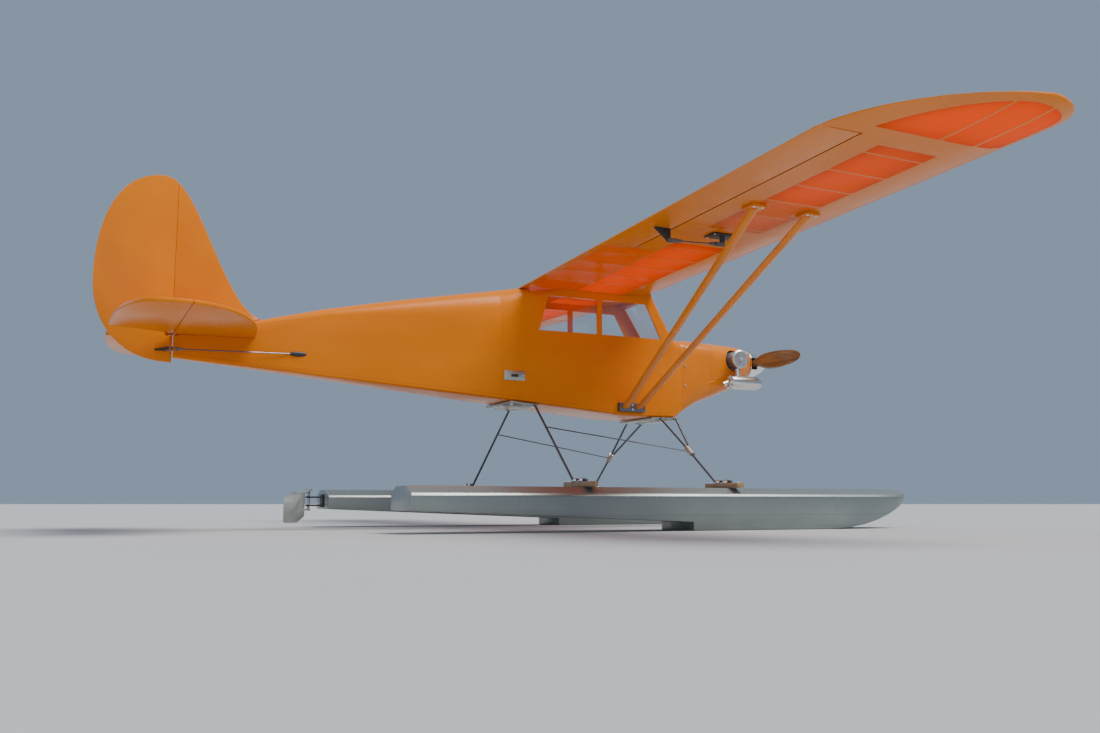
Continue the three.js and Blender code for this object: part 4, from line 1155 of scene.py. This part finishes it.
def wire_legs(name, side):
    """Both legs of a side, the second wire of the front one, its binding and the brace."""
    joint = spot(JOINT["x"], side * JOINT["y"], leg_height(JOINT["y"]))
    top, knee, foot = leg_corners(FRONT_LEG, side)
    route = [top, *bent([joint, knee, foot], FRONT_LEG["bend"])]
    front = tube(bmesh.new(), route, WIRE_R, WIRE_SIDES)
    past = JOINT["y"] + SECOND_WIRE["past"]
    second = [
        spot(SECOND_WIRE["x"], side * FRONT_LEG["y"], FRONT_LEG["z"]),
        spot(SECOND_WIRE["joint_x"], side * JOINT["y"], leg_height(JOINT["y"]) + SECOND_WIRE["rise"]),
        spot(SECOND_WIRE["end_x"], side * past, leg_height(past)),
    ]
    tube(front, bent(second, SECOND_WIRE["bend"]), WIRE_R, WIRE_SIDES)
    finished(f"front_leg_{name}_wire", front, WIRE, replaces=[f"front_leg_{name}"])
    along = (knee - top).normalized()
    binding = helix(joint, along, WRAP["radius"], WRAP["length"], WRAP["turns"])
    wrap = tube(bmesh.new(), binding, WRAP["wire"], 8)
    turned(wrap, SLEEVE, joint, along, steps=20)
    finished(f"leg_binding_{name}", wrap, BINDING)
    route = bent(leg_corners(REAR_LEG, side), REAR_LEG["bend"])
    rear = tube(bmesh.new(), route, WIRE_R, WIRE_SIDES)
    finished(f"rear_leg_{name}_wire", rear, WIRE, replaces=[f"rear_leg_{name}"])
    copied(f"brace_{name}", "wire", WIRE)


for name, side in SIDES.items():
    wire_legs(name, side)

# %% [markdown]
# ### Plates, bars and straps
#
# Two alloy plates take the legs' loads under the belly, and a hardwood bar on each float deck
# carries a leg's foot under pressed saddle straps. A saddle is one edge swept sideways and then
# given its thickness, as it is pressed from a strip of sheet.

# %% Belly plates and deck bars
SADDLE = {"foot": 10.5, "neck": 3.4, "hump": 3.0, "width": 9, "sheet": 0.8, "lift": 0.05, "screw": 7.5}
BAR = {"top": 76.3, "screw": 39, "saddles": (228, 250)}
BELLY_SCREWS = {
    "front": {"x": (1, 43), "y": (-50, -18, 18, 50), "z": 190},
    "rear": {"x": (-279, -239), "y": (-45, 0, 45), "z": 200},
}


def saddle(bm, centre):
    """Adds a strap pressed over a wire that lies along Y: two feet and a hump."""
    arc = [math.radians(15 * i) for i in range(1, 12)]
    rows = [(-SADDLE["foot"], -WIRE_R), (-SADDLE["neck"], -WIRE_R)]
    rows += [(-SADDLE["hump"] * math.cos(a), SADDLE["hump"] * math.sin(a)) for a in arc]
    rows += [(SADDLE["neck"], -WIRE_R), (SADDLE["foot"], -WIRE_R)]
    near = -SADDLE["width"] / 2
    verts = [bm.verts.new(centre + Vector((x, near, z + SADDLE["lift"])) * MM) for x, z in rows]
    edges = [bm.edges.new(pair) for pair in zip(verts, verts[1:])]
    swept = bmesh.ops.extrude_edge_only(bm, edges=edges)["geom"]
    moved = [g for g in swept if isinstance(g, bmesh.types.BMVert)]
    bmesh.ops.translate(bm, vec=(0, SADDLE["width"] * MM, 0), verts=moved)
    faces = [f for f in bm.faces if not any(v.tag for v in f.verts)]
    bmesh.ops.recalc_face_normals(bm, faces=faces)
    bmesh.ops.solidify(bm, geom=faces, thickness=-SADDLE["sheet"] * MM)
    settle(bm)


for name, side in SIDES.items():
    hardware = bmesh.new()
    for end, x in (("front", FRONT_LEG["foot_x"]), ("rear", REAR_LEG["foot_x"])):
        copied(f"deck_bar_{end}_{name}", "wood", HARDWOOD, ease=1.0)
        for y in BAR["saddles"]:
            saddle(hardware, spot(x, side * y, FOOT_Z))
            for step in both(SADDLE["screw"]):
                seat = spot(x + step, side * y, BAR["top"] + SADDLE["sheet"])
                screw(hardware, seat, UP, SCREW_R["saddle"])
        for step in both(BAR["screw"]):
            screw(hardware, spot(x, side * FLOAT_Y + step, BAR["top"]), UP, SCREW_R["bar"])
    finished(f"deck_hardware_{name}", hardware, BRIGHT)

belly_screws = bmesh.new()
for end, row in BELLY_SCREWS.items():
    places = [spot(x, y, row["z"]) for x in row["x"] for y in row["y"]]
    screws(belly_screws, f"belly_plate_{end}", places, UP, SCREW_R["belly"])
finished("belly_plate_screws", belly_screws, BRIGHT)
for end in BELLY_SCREWS:
    copied(f"belly_plate_{end}", "sheet", SHEET, ease=0.6)

# %% [markdown]
# ### Horns, servos and water rudder
#
# Horns, servo plates and the water rudder's bracket are moulded nylon, and the water rudder's blade
# is sheet alloy. The frame has their shapes, so all they need is a small round on each edge to
# catch the light. Small screws hold the servo plates.

# %% Horns, servos and water rudder
SMALL = {
    "elevator_horn": "elevator_unit", "rudder_horn": "rudder_unit",
    "aileron_horn_left": "aileron_left_unit", "aileron_horn_right": "aileron_right_unit",
    "aileron_servo_left": ROOT, "aileron_servo_right": ROOT, "water_rudder_bracket": ROOT,
}
SERVO = {"back": 116, "out": 445, "arm_drop": 13.5, "screw_x": 19.5, "screw_y": 9.5, "screw_drop": 2}
for node, body in SMALL.items():
    copied(node, "moulded", NYLON, body, ease=0.4)
copied("elevator_joiner", "wire", WIRE, "elevator_unit")
copied("water_rudder", "blade", SHEET, "water_rudder_unit", ease=0.4)
servo_screws = bmesh.new()
for name, side in SIDES.items():
    corners = [
        panel(side, SERVO["back"] + x, SERVO["out"] + y, -SERVO["screw_drop"])
        for x in both(SERVO["screw_x"]) for y in both(SERVO["screw_y"])
    ]
    screws(servo_screws, f"aileron_servo_{name}", corners, UP, SCREW_R["servo"])
finished("servo_screws", servo_screws, BRIGHT)

# %% [markdown]
# ### Switch plate
#
# A small plate with a slide switch sits on the right cabin side, which leans a little. It is built
# in a frame of its own that lies on that wall, because boxes along the aeroplane's axes would stand
# off it at one end.

# %% Switch plate on the right cabin side
SWITCH = {"x": -277, "y": -60, "z": 262, "sheet": 1.2, "screw": 15}
# Two corners in the plate's own frame, and the ease of the edges, in mm.
SWITCH_PLATE = ((-19, -SUNK, -8.5), (19, SWITCH["sheet"], 8.5), 0.5)
SWITCH_SLOT = ((-6.5, 0, -2.4), (6.5, 1.4, 2.4), 0.2)
SWITCH_KEY = ((-5.5, 1, -1.7), (-1.5, 4, 1.7), 0.4)


def stand(place, along, flat):
    """The frame of a small part: its X lies along, its Y flat, and its origin at a place."""
    local = Matrix((along, flat, along.cross(flat))).transposed().to_4x4()
    local.translation = place
    return local


def slab(bm, local, low, high, ease):
    """Adds a box between two corners in mm, in a small part's frame."""
    block(bm, Vector(low) * MM, Vector(high) * MM, local, ease)


def switch_plate():
    """A grey plate on the cabin side with a slide switch and two screws."""
    place, outward = surface("fuselage_cabin", spot(SWITCH["x"], SWITCH["y"], SWITCH["z"]), LEFT)
    along = FORWARD.cross(outward).cross(outward).normalized()
    local = stand(place, along, outward)
    plate = bmesh.new()
    slab(plate, local, *SWITCH_PLATE)
    finished("switch_plate", plate, SHEET)
    slider = bmesh.new()
    slab(slider, local, *SWITCH_SLOT)
    slab(slider, local, *SWITCH_KEY)
    finished("switch_slider", slider, NYLON)
    heads = bmesh.new()
    for step in both(SWITCH["screw"]):
        seat = local @ (Vector((step, SWITCH["sheet"], 0)) * MM)
        screw(heads, seat, outward, SCREW_R["switch"])
    finished("switch_screws", heads, BRIGHT)


switch_plate()

# %% [markdown]
# ### Pushrods
#
# A pushrod joins a servo arm inside or under the airframe to the horn on a moving surface. The
# clevis is two thin cheeks on a barrel with a pin through them.

# %% Rods and clevises
CLEVIS = {"cheek": 15, "past_pin": 3, "bridge": 3, "gap": 1.8, "sheet": 1.2, "half": 2.6, "ease": 0.3}
BARREL = {"radius": 2.3, "length": 8, "overlap": 1}
PIN = {"radius": 1.0, "proud": 0.8}
ROD = {"radius": 1.0, "give": 50, "steps": 8, "in_barrel": 2, "end": 4}
AILERON_PIN = {"back": 208.5, "drop": 17.5}
TAIL_RODS = {
    "elevator": {"start": (-540, 22, 292), "pin": (-836.5, 30, 284.5), "flat": LEFT, "exit": -614},
    "rudder": {"start": (-540, -21, 282), "pin": (-839, -23, 276), "flat": UP, "exit": -641},
}
FAIRLEAD = Vector((15, 2.6, 4.2)) * MM


def rod_profile(radius, low, high):
    """A plain round bar for turned(), between two heights."""
    return ((0, low), (radius, low), (radius, high), (0, high))


def clevis(pin, along, flat):
    """A clevis on a horn's hole: along points back to the rod, flat across the horn."""
    bm = bmesh.new()
    local = stand(pin, along, flat)
    cheek, half, ease = CLEVIS["cheek"], CLEVIS["half"], CLEVIS["ease"]
    reach = CLEVIS["gap"] + CLEVIS["sheet"]
    for side in SIDES.values():
        near, far = sorted((side * CLEVIS["gap"], side * reach))
        slab(bm, local, (-CLEVIS["past_pin"], near, -half), (cheek, far, half), ease)
    slab(bm, local, (cheek - CLEVIS["bridge"], -reach, -half), (cheek, reach, half), ease)
    barrel = rod_profile(BARREL["radius"], 0, BARREL["length"])
    turned(bm, barrel, pin + along * (cheek - BARREL["overlap"]) * MM, along, steps=12)
    stub = rod_profile(PIN["radius"], *both(reach + PIN["proud"]))
    return turned(bm, stub, pin, flat, steps=10)


def pushrod(name, start, pin, flat, body, clevis_at_start=False):
    """A rod and its clevis, both soft between the start of the give and the pin."""
    along = (start - pin).normalized()
    far = pin + along * (CLEVIS["cheek"] + BARREL["length"] - ROD["in_barrel"]) * MM
    near = start - along * (CLEVIS["cheek"] if clevis_at_start else 0) * MM
    give = pin + along * ROD["give"] * MM
    soft = [give.lerp(far, i / ROD["steps"]) for i in range(ROD["steps"] + 1)]
    bar = tube(bmesh.new(), [near, *soft, far - along * ROD["end"] * MM], ROD["radius"], 8)
    rod = finished(f"{name}_pushrod", bar, WIRE, body=None)
    tip = finished(f"{name}_clevis", clevis(pin, along, flat), PUSHROD_TIP, body=None)
    for piece in (rod, tip):
        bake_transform(piece, ROOT, body, start=give, end=pin)
    if clevis_at_start:
        finished(f"{name}_arm_clevis", clevis(start, -along, flat), PUSHROD_TIP)


for name, side in SIDES.items():
    flat = (panel(side, 0, 1, 0) - panel(side, 0, 0, 0)).normalized()
    start = panel(side, SERVO["back"], SERVO["out"], -SERVO["arm_drop"])
    pin = panel(side, AILERON_PIN["back"], SERVO["out"], -AILERON_PIN["drop"])
    pushrod(f"aileron_{name}", start, pin, flat, f"aileron_{name}_unit", clevis_at_start=True)
fairleads = bmesh.new()
for name, rod in TAIL_RODS.items():
    start, pin = spot(*rod["start"]), spot(*rod["pin"])
    pushrod(name, start, pin, rod["flat"], f"{name}_unit")
    share = (rod["exit"] - rod["start"][0]) / (rod["pin"][0] - rod["start"][0])
    where = Matrix.Translation(start.lerp(pin, share)) @ Matrix.Diagonal((*FAIRLEAD, 1))
    bmesh.ops.create_uvsphere(fairleads, u_segments=20, v_segments=12, radius=1, matrix=where)
finished("pushrod_fairleads", fairleads, NYLON)

# %% [markdown]
# ## Studio
#
# The reference view looks up at the aeroplane from below and a little behind its right side. Parked
# on its floats it is seen from floor level on the same bearing, close enough that the underside of
# the near wing shows. Three far, wide lamps light a pale room: a strong one above, ahead and to the
# right, a weak one behind on the far side, and a weak low one from the camera's side. Most of the
# light comes from above, so the bays glow.

# %% Floor and room
FLOOR_HALF = 300.0
ROOM = {"Color": (0.44, 0.58, 0.78, 1), "Strength": 0.55}
floor_bm = bmesh.new()
bmesh.ops.create_grid(floor_bm, x_segments=1, y_segments=1, size=FLOOR_HALF)
floor_mesh = bpy.data.meshes.new("studio_floor")
floor_bm.to_mesh(floor_mesh)
floor_bm.free()
FLOOR = Finish("pale floor", (0.47, 0.48, 0.495), 0.75)
FLOOR.set("Roughness", FLOOR.spread(FLOOR.noise(3, detail=2), 0.68, 0.82))
floor_mesh.materials.append(FLOOR.material)
floor = linked("studio_floor", floor_mesh)

world = bpy.data.worlds.new("pale room")
world.use_nodes = True
for socket, value in ROOM.items():
    world.node_tree.nodes["Background"].inputs[socket].default_value = value
bpy.context.scene.world = world
print("floor", 2 * FLOOR_HALF, "m wide, in a room of strength", ROOM["Strength"])

# %% Lights
MIDDLE = Vector((0, 0, 0.3))


def faced(name, data, place, aim):
    """A lamp or camera at a place, turned to face a point."""
    made = linked(name, data)
    made.location = place
    made.rotation_euler = (aim - Vector(place)).to_track_quat("-Z", "Y").to_euler()
    return made


def soft_light(name, place, width, strength, colour=(1, 1, 1)):
    """A lamp so far away that it lights the whole floor alike. width is its angle in the sky."""
    light = bpy.data.lights.new(name, "SUN")
    light.angle = math.radians(width)
    light.energy = strength
    light.color = colour
    faced(name, light, place, MIDDLE)


soft_light("key", (1.1, -1.0, 3.3), 36, 3.9, (1.0, 0.96, 0.90))
soft_light("fill", (-2.4, 2.6, 2.4), 50, 0.55, (0.92, 0.96, 1.0))
soft_light("low", (-1.4, -2.8, 0.95), 40, 0.45)
print("lamps:", len(bpy.data.lights))

# %% Camera
BEARING = math.radians(-23)
DISTANCE = 1.78
EYE = 0.042
AIM = Vector((0.075, -0.032, 0.285))
LENS = 33
camera_data = bpy.data.cameras.new("camera")
camera_data.lens = LENS
camera_place = (math.sin(BEARING) * DISTANCE, -math.cos(BEARING) * DISTANCE, EYE)
camera = faced("camera", camera_data, camera_place, AIM)
bpy.context.scene.camera = camera
print("camera", tuple(round(v, 2) for v in camera.location))
